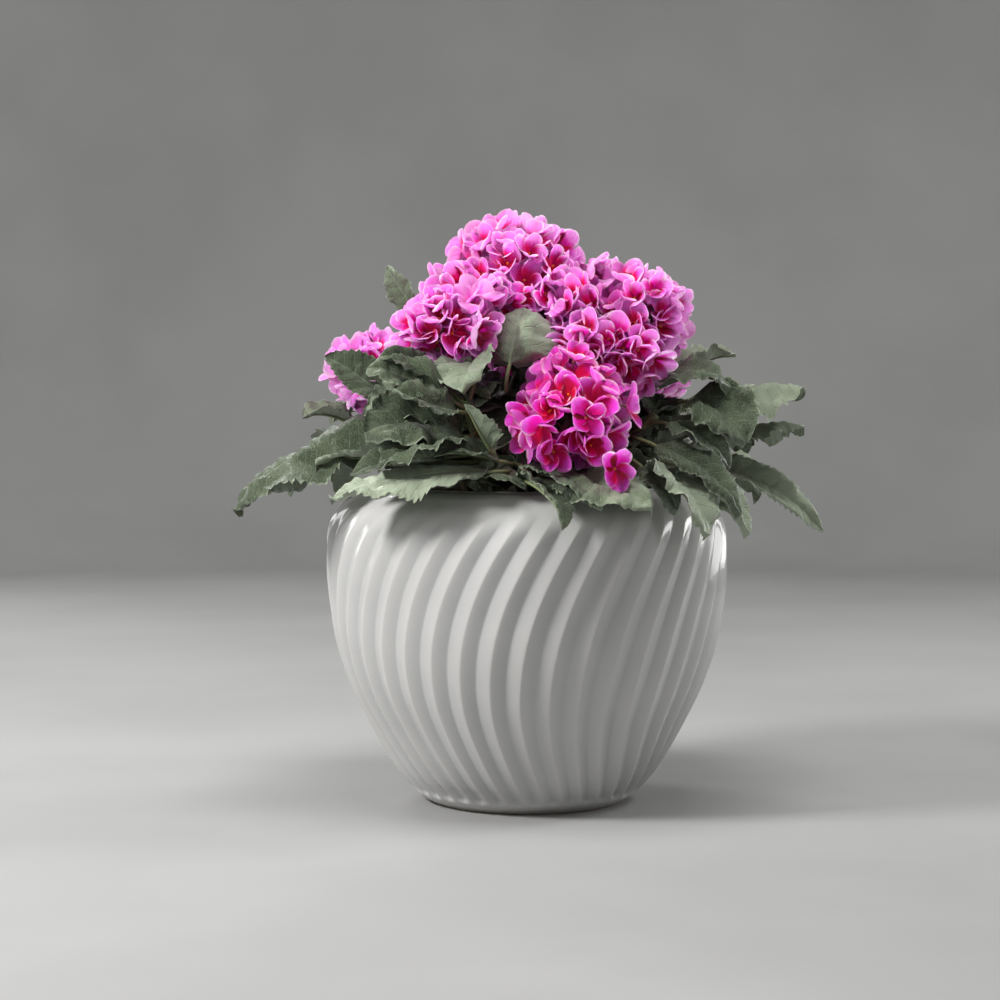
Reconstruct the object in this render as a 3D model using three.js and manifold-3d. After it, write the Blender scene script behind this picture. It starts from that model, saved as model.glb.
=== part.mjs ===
// A potted hydrangea: a ribbed round pot, its soil, eight leafy canes and eight bloom heads.
// Millimetres, +Z up. The origin is the centre of the pot's foot, on the surface it stands on.
// The front of the plant faces -Y, and +X is to the right of someone who looks at the front.

import * as THREE from "three";
import { mergeVertices } from "three/addons/utils/BufferGeometryUtils.js";
import Module from "manifold-3d";

const wasm = await Module();
wasm.setup();

// ---------------------------------------------------------------- driving dimensions

const DEGREE = Math.PI / 180;
const GAP = 0.4; // clearance between two pieces that touch

const POT = {
  // Radius of the outer wall at each height, foot to rim.
  profile: [
    [77, 0],
    [87, 6],
    [95, 14],
    [107.5, 30],
    [124.5, 60],
    [141.5, 95],
    [152.5, 130],
    [157.5, 165],
    [159, 195],
    [157, 218],
    [149, 233],
    [134, 245],
    [117, 250],
  ],
  wall: 8,
  floor: 11,
  rimInner: 111,
  innerSides: 28,
};

const RIB = {
  count: 40,
  depth: 3.6, // crest to valley
  fadeIn: [7, 13], // heights over which a rib starts at the foot
  fadeOut: [214, 240], // and over which it dies away on the shoulder
  // A rib's angle is least at turnHeight, and grows with the square of the height from there.
  turnHeight: 92,
  turnAngle: -2.6 * DEGREE, // of the crest nearest the front, at that height
  twistAbove: 9.3e-4 * DEGREE,
  twistBelow: 1.6e-3 * DEGREE,
};

const SOIL = { top: 229, dome: 7, levels: [40, 90, 145, 195] };

const CANE = { footRadius: 4.2, topRadius: 3.0, sides: 6, buried: 34, rings: 5 };

// A leaf blade is ovate with toothed edges. Shares are of its own length or width.
const LEAF = {
  thickness: 1.1,
  petioleWidth: 3.2,
  petioleThickness: 2.4,
  toothPitch: 19, // blade length to each tooth
  notch: 0.84,
  widestAt: 0.42,
  basePower: 0.55,
  wave: 0.05, // height of the waves in the edge, as a share of the width
};

// A floret is a cup of four petals on a stalk.
const FLORET = {
  radius: 20,
  petalHalfAngle: 25 * DEGREE,
  notchRadius: 0.36, // share of the floret's radius at the gap between two petals
  rimHeight: 5,
  notchHeight: -2,
  cupDepth: 7,
  stalkDepth: 22,
  tilt: 9 * DEGREE,
};

// A bloom's florets are seated on an ellipsoid. All sizes here are shares of its own.
const BLOOM = { spacing: 1.09, lowestFloret: -0.5, seat: 0.87, core: 0.74, sink: 0.35 };

// Each cane: where it stands in the soil, what its top carries, and its leaves.
// A bloom has a centre, half width and half height, and the direction it faces.
// A leaf is [share of the cane's height, blade base, blade tip, width, arch, roll, fold, curl].
// Arch lifts the middle of the midrib in mm. Roll turns the blade about the midrib, fold lifts its two
// halves and curl adds roll toward the tip, all in degrees.
const CANES = {
  crown: {
    foot: [-4, 6],
    bloom: { centre: [-10, -2, 413], half: [62, 53], faces: [0, -0.35, 1] },
    leaves: [
      [0.6, [-14, -94, 346], [-4, -70, 389], 60, 4, 0, 12, 0],
      [0.5, [-12, -48, 318], [-10, -82, 270], 62, 10, 0, 12, 0],
      [0.45, [14, -30, 316], [34, -66, 348], 56, 0, 0, 20, 0],
      [0.45, [-18, 40, 322], [-24, 76, 322], 50, 10, 0, 20, 0],
    ],
  },
  left_front: {
    foot: [-26, -20],
    bloom: { centre: [-64, -62, 369], half: [43, 41], faces: [-0.4, -0.6, 1] },
    leaves: [
      [0.5, [-58, -46, 312], [-98, -60, 322], 44, 6, -20, 20, 0],
    ],
  },
  far_left: {
    foot: [-46, 2],
    bloom: { centre: [-118, -12, 338], half: [43, 42], faces: [-0.8, -0.3, 1] },
    leaves: [
      [0.45, [-116, -52, 311], [-230, -64, 238], 82, 8, -14, -34, 0],
      [0.3, [-78, -66, 268], [-162, -78, 272], 46, 8, -6, 20, 0],
      [0.55, [-102, -58, 314], [-156, -52, 352], 36, 4, -60, 24, 0],
      [0.5, [-138, 22, 296], [-178, 2, 304], 34, 10, -10, 24, 0],
      [0.4, [-118, 44, 280], [-196, 58, 240], 66, 24, 0, 20, 0],
    ],
  },
  front_left: {
    foot: [-30, -54],
    top: [-46, -100, 316],
    leaves: [
      [0.7, [-50, -106, 292], [-122, -124, 296], 66, 12, -34, 18, 0],
      [0.5, [-48, -116, 288], [-112, -140, 268], 62, 12, -24, 22, 0],
      [0.3, [-30, -138, 266], [-148, -136, 250], 58, 8, -24, -16, 0],
      [0.45, [-22, -126, 274], [-70, -138, 279], 34, 6, -20, 24, 0],
      [0.9, [-58, -104, 318], [-120, -108, 344], 44, 6, -46, 24, 0],
      [0.85, [-54, -114, 310], [-100, -130, 326], 48, -4, -44, 24, 0],
      [0.6, [-28, -126, 282], [-46, -134, 316], 34, -4, 0, 24, 0],
      [0.97, [-40, -94, 346], [-50, -118, 324], 58, 8, 20, 20, 0],
      [0.95, [-74, -94, 336], [-112, -104, 350], 36, 6, -40, 24, 0],
      [0.8, [-66, -86, 304], [-124, -98, 308], 50, 8, -40, 20, 0],
    ],
  },
  right: {
    foot: [34, -8],
    bloom: { centre: [83, -26, 376], half: [52, 52], faces: [0.4, -0.25, 1] },
    leaves: [
      [0.66, [92, -50, 322], [156, -64, 330], 54, 18, 14, 22, 0],
      [0.6, [112, 20, 334], [168, 24, 354], 48, 6, 10, 20, 0],
      [0.55, [90, -26, 322], [98, -42, 276], 54, 6, 0, 12, 0],
    ],
  },
  front: {
    foot: [14, -44],
    bloom: { centre: [35, -108, 308], half: [50, 53], faces: [0.15, -1, 0.1] },
    leaves: [
      [0.4, [22, -124, 258], [88, -174, 244], 62, 8, 22, 8, 0],
      [0.3, [-5, -130, 260], [28, -184, 230], 40, 12, -24, 30, 0],
      [0.3, [-4, -120, 270], [54, -174, 245], 34, 8, 4, 14, 0],
      [0.35, [50, -98, 257], [78, -142, 250], 48, 6, 0, 6, 0],
    ],
  },
  right_front: {
    foot: [46, -34],
    top: [98, -66, 306],
    leaves: [
      [0.5, [94, -110, 264], [134, -150, 222], 66, 14, -8, 18, 0],
      [0.7, [96, -96, 284], [160, -126, 236], 44, 12, 12, 24, 0],
      [0.85, [106, -74, 300], [154, -92, 268], 46, 10, 16, 22, 0],
      [0.4, [112, -88, 256], [168, -108, 220], 42, 14, 10, 24, 0],
      [0.6, [86, -102, 268], [110, -138, 238], 30, 8, 10, 24, 0],
    ],
  },
  right_side: {
    foot: [48, -6],
    top: [128, -16, 316],
    leaves: [
      [0.95, [150, -12, 326], [220, -10, 327], 78, 4, 4, -46, 0],
      [0.7, [150, 2, 292], [221, 4, 298], 48, 4, 6, -36, 0],
      [0.5, [142, 6, 262], [238, 2, 213], 36, 24, 30, 26, 40],
      [0.9, [128, -54, 316], [166, -84, 286], 60, 12, 20, 16, 0],
    ],
  },
  right_back: {
    foot: [40, 30],
    bloom: { centre: [90, 64, 338], half: [50, 47], faces: [0.6, 0.5, 1] },
    leaves: [
      [0.3, [120, 58, 270], [198, 86, 238], 70, 24, 0, 20, 0],
      [0.5, [140, 90, 290], [188, 132, 270], 66, 20, 0, 20, 0],
      [0.2, [80, 104, 262], [130, 168, 226], 68, 24, 0, 22, 0],
    ],
  },
  left_back: {
    foot: [-34, 32],
    bloom: { centre: [-60, 88, 372], half: [51, 47], faces: [-0.4, 0.5, 1] },
    leaves: [
      [0.8, [-92, 8, 376], [-113, 28, 424], 30, 0, -100, 24, 0],
      [0.3, [-96, 84, 268], [-160, 132, 234], 70, 26, 0, 20, 0],
      [0.5, [-104, 96, 304], [-164, 96, 298], 62, 16, 0, 20, 0],
      [0.4, [-52, 122, 284], [-84, 186, 256], 66, 20, 0, 22, 0],
    ],
  },
  back: {
    foot: [4, 46],
    bloom: { centre: [16, 122, 338], half: [51, 47], faces: [0.1, 0.7, 1] },
    leaves: [
      [0.25, [0, 128, 266], [-8, 204, 232], 70, 26, 0, 20, 0],
      [0.4, [54, 138, 280], [78, 196, 262], 64, 20, 0, 20, 0],
    ],
  },
};

const COLOURS = {
  pot: { color: 0xe4e4e0, roughness: 0.18, metalness: 0 },
  soil: { color: 0x2b211a, roughness: 0.95, metalness: 0 },
  leafy: { color: 0x5d6b52, roughness: 0.6, metalness: 0 },
  bloom: { color: 0xe04fc4, roughness: 0.55, metalness: 0 },
};

// ---------------------------------------------------------------- solids and meshes

// A repeatable random number from 0 to 1.
function seeded(seed) {
  let state = seed >>> 0;
  return () => {
    state = (state + 0x6d2b79f5) >>> 0;
    let t = state;
    t = Math.imul(t ^ (t >>> 15), t | 1);
    t ^= t + Math.imul(t ^ (t >>> 7), t | 61);
    return ((t ^ (t >>> 14)) >>> 0) / 4294967296;
  };
}

// A closed three.js geometry as a solid that can be joined and cut.
function solidOf(geometry) {
  const bare = geometry.index ? geometry.toNonIndexed() : geometry.clone();
  bare.deleteAttribute("normal");
  bare.deleteAttribute("uv");
  const merged = mergeVertices(bare, 1e-3);
  return new wasm.Manifold(
    new wasm.Mesh({
      numProp: 3,
      vertProperties: merged.attributes.position.array,
      triVerts: new Uint32Array(merged.index.array),
    }),
  );
}

// A closed geometry from points and the triangles between them.
function geometryOf(points, triangles) {
  const flat = new Float32Array(points.flatMap((p) => [p.x, p.y, p.z]));
  return new THREE.BufferGeometry()
    .setAttribute("position", new THREE.BufferAttribute(flat, 3))
    .setIndex(triangles);
}

// A solid as a named three.js mesh.
function meshOf(name, solid, finish) {
  const made = solid.getMesh();
  const step = made.numProp;
  const flat = new Float32Array(made.numVert * 3);
  for (let i = 0; i < made.numVert; i++) {
    flat.set(made.vertProperties.subarray(i * step, i * step + 3), i * 3);
  }
  const geometry = new THREE.BufferGeometry()
    .setAttribute("position", new THREE.BufferAttribute(flat, 3))
    .setIndex(new THREE.BufferAttribute(made.triVerts, 1));
  geometry.computeVertexNormals();
  const mesh = new THREE.Mesh(geometry, new THREE.MeshStandardMaterial(finish));
  mesh.name = name;
  return mesh;
}

// The body with the most volume, without any scrap that a cut left loose.
function largestBody(solid) {
  const bodies = solid.decompose();
  return bodies.reduce((a, b) => (a.volume() >= b.volume() ? a : b));
}

// A closed skin over stacked rings of points, all with the same count, and a point at each end.
function stackedRings(rings, start, end) {
  const sides = rings[0].length;
  const points = [start, ...rings.flat(), end];
  const last = points.length - 1;
  const at = (ring, side) => 1 + ring * sides + (side % sides);
  const triangles = [];
  for (let side = 0; side < sides; side++) {
    triangles.push(0, at(0, side + 1), at(0, side));
    triangles.push(last, at(rings.length - 1, side), at(rings.length - 1, side + 1));
    for (let ring = 0; ring + 1 < rings.length; ring++) {
      const [a, b] = [at(ring, side), at(ring, side + 1)];
      const [c, d] = [at(ring + 1, side), at(ring + 1, side + 1)];
      triangles.push(a, b, d, a, d, c);
    }
  }
  return geometryOf(points, triangles);
}

// ---------------------------------------------------------------- pot and soil

function ribAngle(height) {
  const rise = height - RIB.turnHeight;
  return RIB.turnAngle + rise * rise * (rise > 0 ? RIB.twistAbove : RIB.twistBelow);
}

function ribDepth(height) {
  const start = THREE.MathUtils.smoothstep(height, ...RIB.fadeIn);
  const end = 1 - THREE.MathUtils.smoothstep(height, ...RIB.fadeOut);
  return RIB.depth * start * end;
}

// The outer wall: at each height a ring that alternates between rib crests and valleys.
function potOuter() {
  const sides = RIB.count * 2;
  const rings = POT.profile.map(([radius, height]) => {
    const depth = ribDepth(height);
    return Array.from({ length: sides }, (_, side) => {
      const angle = (side / sides) * 2 * Math.PI + ribAngle(height);
      const reach = radius - (side % 2) * depth;
      return new THREE.Vector3(Math.sin(angle) * reach, -Math.cos(angle) * reach, height);
    });
  });
  const top = POT.profile[POT.profile.length - 1][1];
  return stackedRings(rings, new THREE.Vector3(), new THREE.Vector3(0, 0, top));
}

// Radius of the pot's inner wall at a height.
function innerRadius(height) {
  const points = POT.profile;
  const k = points.findIndex((p) => p[1] >= height);
  const [below, above] = [points[Math.max(k - 1, 0)], points[k]];
  const share = (height - below[1]) / Math.max(above[1] - below[1], 1e-6);
  const outer = THREE.MathUtils.lerp(below[0], above[0], k ? share : 0);
  return outer - POT.wall - RIB.depth;
}

// A ring of the pot's inner wall, drawn in by a clearance.
function innerRing(radius, height) {
  return Array.from({ length: POT.innerSides }, (_, side) => {
    const angle = (side / POT.innerSides) * 2 * Math.PI;
    return new THREE.Vector3(Math.sin(angle) * radius, -Math.cos(angle) * radius, height);
  });
}

function potSolid() {
  const top = POT.profile[POT.profile.length - 1][1];
  const rings = [
    innerRing(innerRadius(POT.floor), POT.floor),
    ...SOIL.levels.map((height) => innerRing(innerRadius(height), height)),
    innerRing(innerRadius(SOIL.top), SOIL.top),
    innerRing(POT.rimInner, top - 5),
    innerRing(POT.rimInner, top + 1),
  ];
  const cavity = stackedRings(
    rings,
    new THREE.Vector3(0, 0, POT.floor),
    new THREE.Vector3(0, 0, top + 1),
  );
  return solidOf(potOuter()).subtract(solidOf(cavity));
}

function soilSolid(holes) {
  const bottom = POT.floor + GAP;
  const rings = [
    innerRing(innerRadius(POT.floor) - GAP, bottom),
    ...SOIL.levels.map((height) => innerRing(innerRadius(height) - GAP, height)),
    innerRing(innerRadius(SOIL.top) - GAP, SOIL.top),
    innerRing(innerRadius(SOIL.top) * 0.55, SOIL.top + SOIL.dome * 0.8),
  ];
  const whole = stackedRings(
    rings,
    new THREE.Vector3(0, 0, bottom),
    new THREE.Vector3(0, 0, SOIL.top + SOIL.dome),
  );
  return holes.reduce((soil, hole) => soil.subtract(hole), solidOf(whole));
}

// ---------------------------------------------------------------- canes

// Rings of a round bar along a path of points, with a radius for each.
function bar(path, radii, sides) {
  const up = new THREE.Vector3(0.02, -1, 0.01);
  const rings = path.map((point, i) => {
    const tangent = new THREE.Vector3()
      .subVectors(path[Math.min(i + 1, path.length - 1)], path[Math.max(i - 1, 0)])
      .normalize();
    const across = new THREE.Vector3().crossVectors(up, tangent).normalize();
    const over = new THREE.Vector3().crossVectors(tangent, across);
    return Array.from({ length: sides }, (_, side) => {
      const angle = (side / sides) * 2 * Math.PI;
      return point
        .clone()
        .addScaledVector(across, Math.cos(angle) * radii[i])
        .addScaledVector(over, Math.sin(angle) * radii[i]);
    });
  });
  return stackedRings(rings, path[0], path[path.length - 1]);
}

// Where a cane's top ends: inside its bloom's core, or at its own tip.
function caneTop(cane) {
  if (!cane.bloom) return new THREE.Vector3(...cane.top);
  const centre = new THREE.Vector3(...cane.bloom.centre);
  const axis = new THREE.Vector3(...cane.bloom.faces).normalize();
  return centre.addScaledVector(axis, -cane.bloom.half[1] * BLOOM.sink);
}

// The cane above the soil: straight up at first, then leaning out to its top.
function caneCurve(cane) {
  const foot = new THREE.Vector3(cane.foot[0], cane.foot[1], SOIL.top + SOIL.dome);
  const top = caneTop(cane);
  const rise = top.z - foot.z;
  const low = foot.clone().add(new THREE.Vector3(0, 0, rise * 0.4));
  const high = foot.clone().lerp(top, 0.7).add(new THREE.Vector3(0, 0, rise * 0.06));
  return new THREE.CubicBezierCurve3(foot, low, high, top);
}

function canePath(cane) {
  const buried = new THREE.Vector3(
    cane.foot[0],
    cane.foot[1],
    SOIL.top + SOIL.dome - CANE.buried,
  );
  return [buried, ...caneCurve(cane).getPoints(CANE.rings)];
}

// The cane as a bar; grown makes it that much thicker and longer, for the sockets it stands in.
function caneSolid(cane, grown = 0) {
  const path = canePath(cane);
  const radii = path.map(
    (_, i) =>
      THREE.MathUtils.lerp(CANE.footRadius, CANE.topRadius, i / (path.length - 1)) + grown,
  );
  if (grown) {
    const end = path[path.length - 1];
    const before = path[path.length - 2];
    const along = new THREE.Vector3().subVectors(end, before).normalize();
    end.addScaledVector(along, grown);
    path[0].z -= grown;
  }
  return solidOf(bar(path, radii, CANE.sides));
}

// ---------------------------------------------------------------- leaves

// Half width of a leaf blade at a share of its length, as a share of the greatest half width.
function bladeShape(share) {
  const tipPower = (LEAF.basePower * (1 - LEAF.widestAt)) / LEAF.widestAt;
  const at = (u) => Math.pow(u, LEAF.basePower) * Math.pow(1 - u, tipPower);
  return at(share) / at(LEAF.widestAt);
}

// A leaf's centre line: a petiole that bends from the cane into the blade's midrib.
// Shares from -1 to 0 run along the petiole and from 0 to 1 along the midrib.
function leafLine(root, base, tip, arch) {
  const middle = base.clone().lerp(tip, 0.5).add(new THREE.Vector3(0, 0, arch));
  const midrib = new THREE.QuadraticBezierCurve3(base, middle, tip);
  const back = root.distanceTo(base) * 0.45;
  const bend = base.clone().addScaledVector(midrib.getTangent(0), -back);
  const petiole = new THREE.QuadraticBezierCurve3(root, bend, base);
  return {
    point: (share) => (share < 0 ? petiole.getPoint(1 + share) : midrib.getPoint(share)),
    tangent: (share) => (share < 0 ? petiole.getTangent(1 + share) : midrib.getTangent(share)),
  };
}

// A toothed blade on its petiole, as one closed skin: the same triangles above and below.
function leafSolid(root, spec, phase) {
  const [, base, tip, width, arch, roll, fold, curl] = spec;
  const [start, end] = [new THREE.Vector3(...base), new THREE.Vector3(...tip)];
  const line = leafLine(root, start, end, arch);
  const teeth = Math.max(3, Math.round(start.distanceTo(end) / LEAF.toothPitch));
  const sideways = end.clone().sub(start).cross(new THREE.Vector3(0, 0, 1));
  const stem = LEAF.petioleWidth / 2;

  // A point at a share of the centre line, a signed distance to its side, on the upper or lower face.
  const place = (share, side, face) => {
    const along = line.tangent(share);
    const turn = (roll + curl * Math.max(share, 0)) * DEGREE;
    const across = sideways.clone().projectOnPlane(along).normalize();
    const up = across.clone().cross(along).applyAxisAngle(along, turn);
    across.applyAxisAngle(along, turn);
    const thickness = share < 0.05 ? LEAF.petioleThickness : LEAF.thickness;
    const outward = Math.abs(side) / (width / 2);
    const wave = LEAF.wave * width * Math.sin(3 * Math.PI * share + phase + side) * outward * outward;
    const slope = share < 0 ? 0 : fold * DEGREE;
    return line
      .point(share)
      .addScaledVector(across, side * Math.cos(slope))
      .addScaledVector(up, Math.abs(side) * Math.sin(slope) + (share > 0 ? wave : 0))
      .addScaledVector(up, (face * thickness) / 2);
  };

  const skins = [1, -1].map((face) => {
    const skin = { middle: [], right: [], left: [] };
    for (const share of [-1, -0.5]) {
      skin.middle.push(place(share, 0, face));
      skin.right.push([place(share, stem, face)]);
      skin.left.push([place(share, -stem, face)]);
    }
    for (let k = 0; k < teeth; k++) {
      const [notch, tooth] = [k / teeth, (k + 0.62) / teeth];
      const reach = (u, depth) => Math.max((width / 2) * bladeShape(u) * depth, stem);
      const outline = (sign) => [
        place(notch, sign * reach(notch, LEAF.notch), face),
        place(tooth, sign * reach(tooth, 1), face),
      ];
      skin.middle.push(place(notch, 0, face));
      skin.right.push(outline(1));
      skin.left.push(outline(-1));
    }
    skin.middle.push(place(1, 0, face));
    return skin;
  });
  return closeBlade(skins);
}

// Joins a leaf's upper and lower skins, which have the same stations, along their outline.
function closeBlade(skins) {
  const points = [];
  const triangles = [];
  const add = (p) => points.push(p) - 1;
  const faces = skins.map(({ middle, right, left }) => ({
    middle: middle.map(add),
    right: right.map((r) => r.map(add)),
    left: left.map((r) => r.map(add)),
  }));
  faces.forEach((face, level) => {
    const push = (a, b, c, flip) => triangles.push(...(flip ? [a, c, b] : [a, b, c]));
    for (const [edge, mirrored] of [
      [face.right, false],
      [face.left, true],
    ]) {
      const flip = mirrored !== (level === 1);
      for (let k = 0; k < edge.length; k++) {
        const [m, next] = [face.middle[k], face.middle[k + 1]];
        const [notch, tooth] = edge[k];
        const end = edge[k + 1] ? edge[k + 1][0] : next;
        if (tooth === undefined) {
          push(m, notch, end, flip);
          push(m, end, next, flip);
        } else {
          push(m, notch, tooth, flip);
          push(m, tooth, next, flip);
          if (end !== next) push(next, tooth, end, flip);
        }
      }
    }
  });
  const loop = (face) => [
    ...face.right.flat(),
    face.middle[face.middle.length - 1],
    ...face.left.flat().reverse(),
    face.middle[0],
  ];
  const [top, bottom] = faces.map(loop);
  top.forEach((a, i) => {
    const next = (i + 1) % top.length;
    triangles.push(bottom[i], bottom[next], top[next], bottom[i], top[next], a);
  });
  return solidOf(geometryOf(points, triangles));
}

function leafyCane(cane) {
  const curve = caneCurve(cane);
  const leaves = cane.leaves.map((leaf, i) => leafSolid(curve.getPoint(leaf[0]), leaf, i * 1.9));
  return largestBody(leaves.reduce((all, leaf) => all.add(leaf), caneSolid(cane)));
}

// ---------------------------------------------------------------- bloom heads

// One floret: a lobed cup whose rim has two corners to each petal, closed below to a point.
function floretSolid({ seat, out, turn }, scale) {
  const side = new THREE.Vector3(0.31, 0.2, 0.93).cross(out).normalize();
  const over = out.clone().cross(side);
  const place = (angle, radius, height) =>
    seat
      .clone()
      .addScaledVector(side, Math.cos(angle) * radius * scale)
      .addScaledVector(over, Math.sin(angle) * radius * scale)
      .addScaledVector(out, height * scale);
  const rim = [];
  for (let petal = 0; petal < 4; petal++) {
    const middle = turn + (petal * Math.PI) / 2;
    rim.push(place(middle - FLORET.petalHalfAngle, FLORET.radius, FLORET.rimHeight));
    rim.push(place(middle + FLORET.petalHalfAngle, FLORET.radius, FLORET.rimHeight));
    const notch = FLORET.radius * FLORET.notchRadius;
    rim.push(place(middle + Math.PI / 4, notch, FLORET.notchHeight));
  }
  return solidOf(stackedRings([rim], place(0, 0, -FLORET.stalkDepth), place(0, 0, -FLORET.cupDepth)));
}

// Turns upright shapes to face where the bloom faces.
function bloomTurn(bloom) {
  const axis = new THREE.Vector3(...bloom.faces).normalize();
  return new THREE.Quaternion().setFromUnitVectors(new THREE.Vector3(0, 0, 1), axis);
}

// Places spread evenly over the bloom, from its top down to its lowest florets.
function floretPlaces(bloom, random) {
  const centre = new THREE.Vector3(...bloom.centre);
  const turn = bloomTurn(bloom);
  const [wide, tall] = bloom.half;
  const golden = Math.PI * (3 - Math.sqrt(5));
  const count = Math.round((4 * wide * (wide + tall)) / 2 / (FLORET.radius * BLOOM.spacing) ** 2);
  const places = [];
  for (let i = 0; i < count; i++) {
    const height = 1 - (2 * i + 1) / count;
    if (height < BLOOM.lowestFloret) break;
    const radius = Math.sqrt(1 - height * height);
    const ball = new THREE.Vector3(Math.cos(i * golden) * radius, Math.sin(i * golden) * radius, height);
    const seat = ball.clone().multiply(new THREE.Vector3(wide, wide, tall));
    const out = ball.clone().divide(new THREE.Vector3(wide, wide, tall)).normalize();
    const lean = new THREE.Vector3(random() - 0.5, random() - 0.5, random() - 0.5);
    out.addScaledVector(lean, 2 * Math.sin(FLORET.tilt)).normalize();
    places.push({
      seat: seat.multiplyScalar(BLOOM.seat).applyQuaternion(turn).add(centre),
      out: out.applyQuaternion(turn),
      turn: random() * Math.PI,
    });
  }
  return places;
}

// A bloom: a core that the florets stand out of. A floret that would meet a neighbour is left out.
function bloomSolid(cane, seed, neighbours) {
  const { bloom } = cane;
  const [wide, tall] = bloom.half;
  const core = new THREE.IcosahedronGeometry(BLOOM.core, 0)
    .scale(wide, wide, tall)
    .applyQuaternion(bloomTurn(bloom))
    .translate(...bloom.centre);
  let head = solidOf(core);
  for (const place of floretPlaces(bloom, seeded(seed))) {
    const room = floretSolid(place, 1.05);
    const meets = neighbours.some((other) => !room.intersect(other).isEmpty());
    if (!meets) head = head.add(floretSolid(place, 1));
  }
  return largestBody(head.subtract(caneSolid(cane, GAP)));
}

// ---------------------------------------------------------------- the whole plant in its pot

const hydrangea = new THREE.Group();
const canes = Object.entries(CANES);
const leafy = canes.map(([, cane]) => leafyCane(cane));
const holes = canes.map(([, cane]) => caneSolid(cane, GAP));
const pot = potSolid();

hydrangea.add(meshOf("pot", pot, COLOURS.pot));
hydrangea.add(meshOf("soil", soilSolid(holes), COLOURS.soil));
canes.forEach(([name], i) => {
  hydrangea.add(meshOf(`leafy_cane_${name}`, leafy[i], COLOURS.leafy));
});

const placed = [...leafy];
canes.forEach(([name, cane], i) => {
  if (!cane.bloom) return;
  const head = bloomSolid(cane, 11 + i, placed);
  placed.push(head);
  hydrangea.add(meshOf(`bloom_${name}`, head, COLOURS.bloom));
});

export default hydrangea;
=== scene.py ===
"""A potted mophead hydrangea: a ribbed round pot, its soil, leafy canes and domed blooms.

Every piece is a surface worked out with numpy in millimetres and put into its mesh in metres. The pot's
foot is centred on the origin, +Z is up, the plant's front faces -Y, and +X is to the viewer's right.
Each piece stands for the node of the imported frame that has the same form.
"""

from __future__ import annotations

import logging
import math
from dataclasses import dataclass
from enum import Enum, IntEnum

import bpy
import numpy as np
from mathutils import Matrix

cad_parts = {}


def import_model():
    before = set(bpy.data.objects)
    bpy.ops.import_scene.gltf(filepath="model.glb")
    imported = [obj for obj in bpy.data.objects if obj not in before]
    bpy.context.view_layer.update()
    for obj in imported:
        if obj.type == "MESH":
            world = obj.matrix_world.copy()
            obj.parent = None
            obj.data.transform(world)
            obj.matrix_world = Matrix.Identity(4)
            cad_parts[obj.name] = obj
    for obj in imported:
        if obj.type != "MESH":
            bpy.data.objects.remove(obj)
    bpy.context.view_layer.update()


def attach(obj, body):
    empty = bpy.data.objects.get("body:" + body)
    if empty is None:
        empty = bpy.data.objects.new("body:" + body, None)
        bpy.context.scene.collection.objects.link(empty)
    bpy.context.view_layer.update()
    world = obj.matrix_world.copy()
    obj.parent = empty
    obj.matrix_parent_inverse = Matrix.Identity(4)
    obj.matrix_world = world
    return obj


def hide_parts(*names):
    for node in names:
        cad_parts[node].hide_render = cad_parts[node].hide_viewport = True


Array = np.ndarray
Material = bpy.types.Material
Object = bpy.types.Object
Socket = bpy.types.NodeSocket
Triple = tuple[float, float, float]

LOG = logging.getLogger("hydrangea")
MM = 0.001
DEGREE = math.pi / 180.0
TURN = 2 * math.pi
GOLDEN = math.pi * (3.0 - math.sqrt(5.0))
UP = np.array([0.0, 0.0, 1.0])
SLANT = np.array([0.31, 0.2, 0.93])  # a direction that no floret faces
RUMPLE_SHARE = 0.6  # added sines seldom pass this share of their number


# ----- plain geometry


def unit(vectors: Array) -> Array:
    """Vectors scaled to length one along their last axis."""
    length = np.linalg.norm(vectors, axis=-1, keepdims=True)
    return vectors / np.maximum(length, 1e-9)


def smoothstep(value: Array, low: float, high: float) -> Array:
    """0 below low, 1 above high, and 3t^2 - 2t^3 between them."""
    t = np.clip((value - low) / (high - low), 0.0, 1.0)
    return t * t * (3.0 - 2.0 * t)


def quadratic(a: Array, b: Array, c: Array, t: Array) -> Array:
    """Points (1-t)^2 a + 2t(1-t) b + t^2 c of a quadratic Bezier curve."""
    s = t[:, None]
    return (1 - s) ** 2 * a + 2 * s * (1 - s) * b + s**2 * c


def cubic(a: Array, b: Array, c: Array, d: Array, t: Array) -> Array:
    """Points of the cubic Bezier curve with corners a, b, c and d."""
    s = t[:, None]
    return (1 - s) ** 3 * a + 3 * s * (1 - s) ** 2 * b + 3 * s**2 * (1 - s) * c + s**3 * d


def through(points: Array, per_span: int) -> Array:
    """A Catmull-Rom curve through the points.

    Args:
        points: (n, k) points in order.
        per_span: how many steps each span between two points gets.

    Returns:
        ((n - 1) * per_span + 1, k) points on the curve.
    """
    padded = np.vstack([2 * points[0] - points[1], points, 2 * points[-1] - points[-2]])
    t = np.linspace(0.0, 1.0, per_span, endpoint=False)[None, :, None]
    p0, p1, p2, p3 = (padded[i : i + len(points) - 1, None, :] for i in range(4))
    curve = 0.5 * (
        2 * p1 + (p2 - p0) * t + (2 * p0 - 5 * p1 + 4 * p2 - p3) * t**2 + (3 * p1 - p0 - 3 * p2 + p3) * t**3
    )
    return np.vstack([curve.reshape(-1, points.shape[1]), points[-1]])


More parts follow.
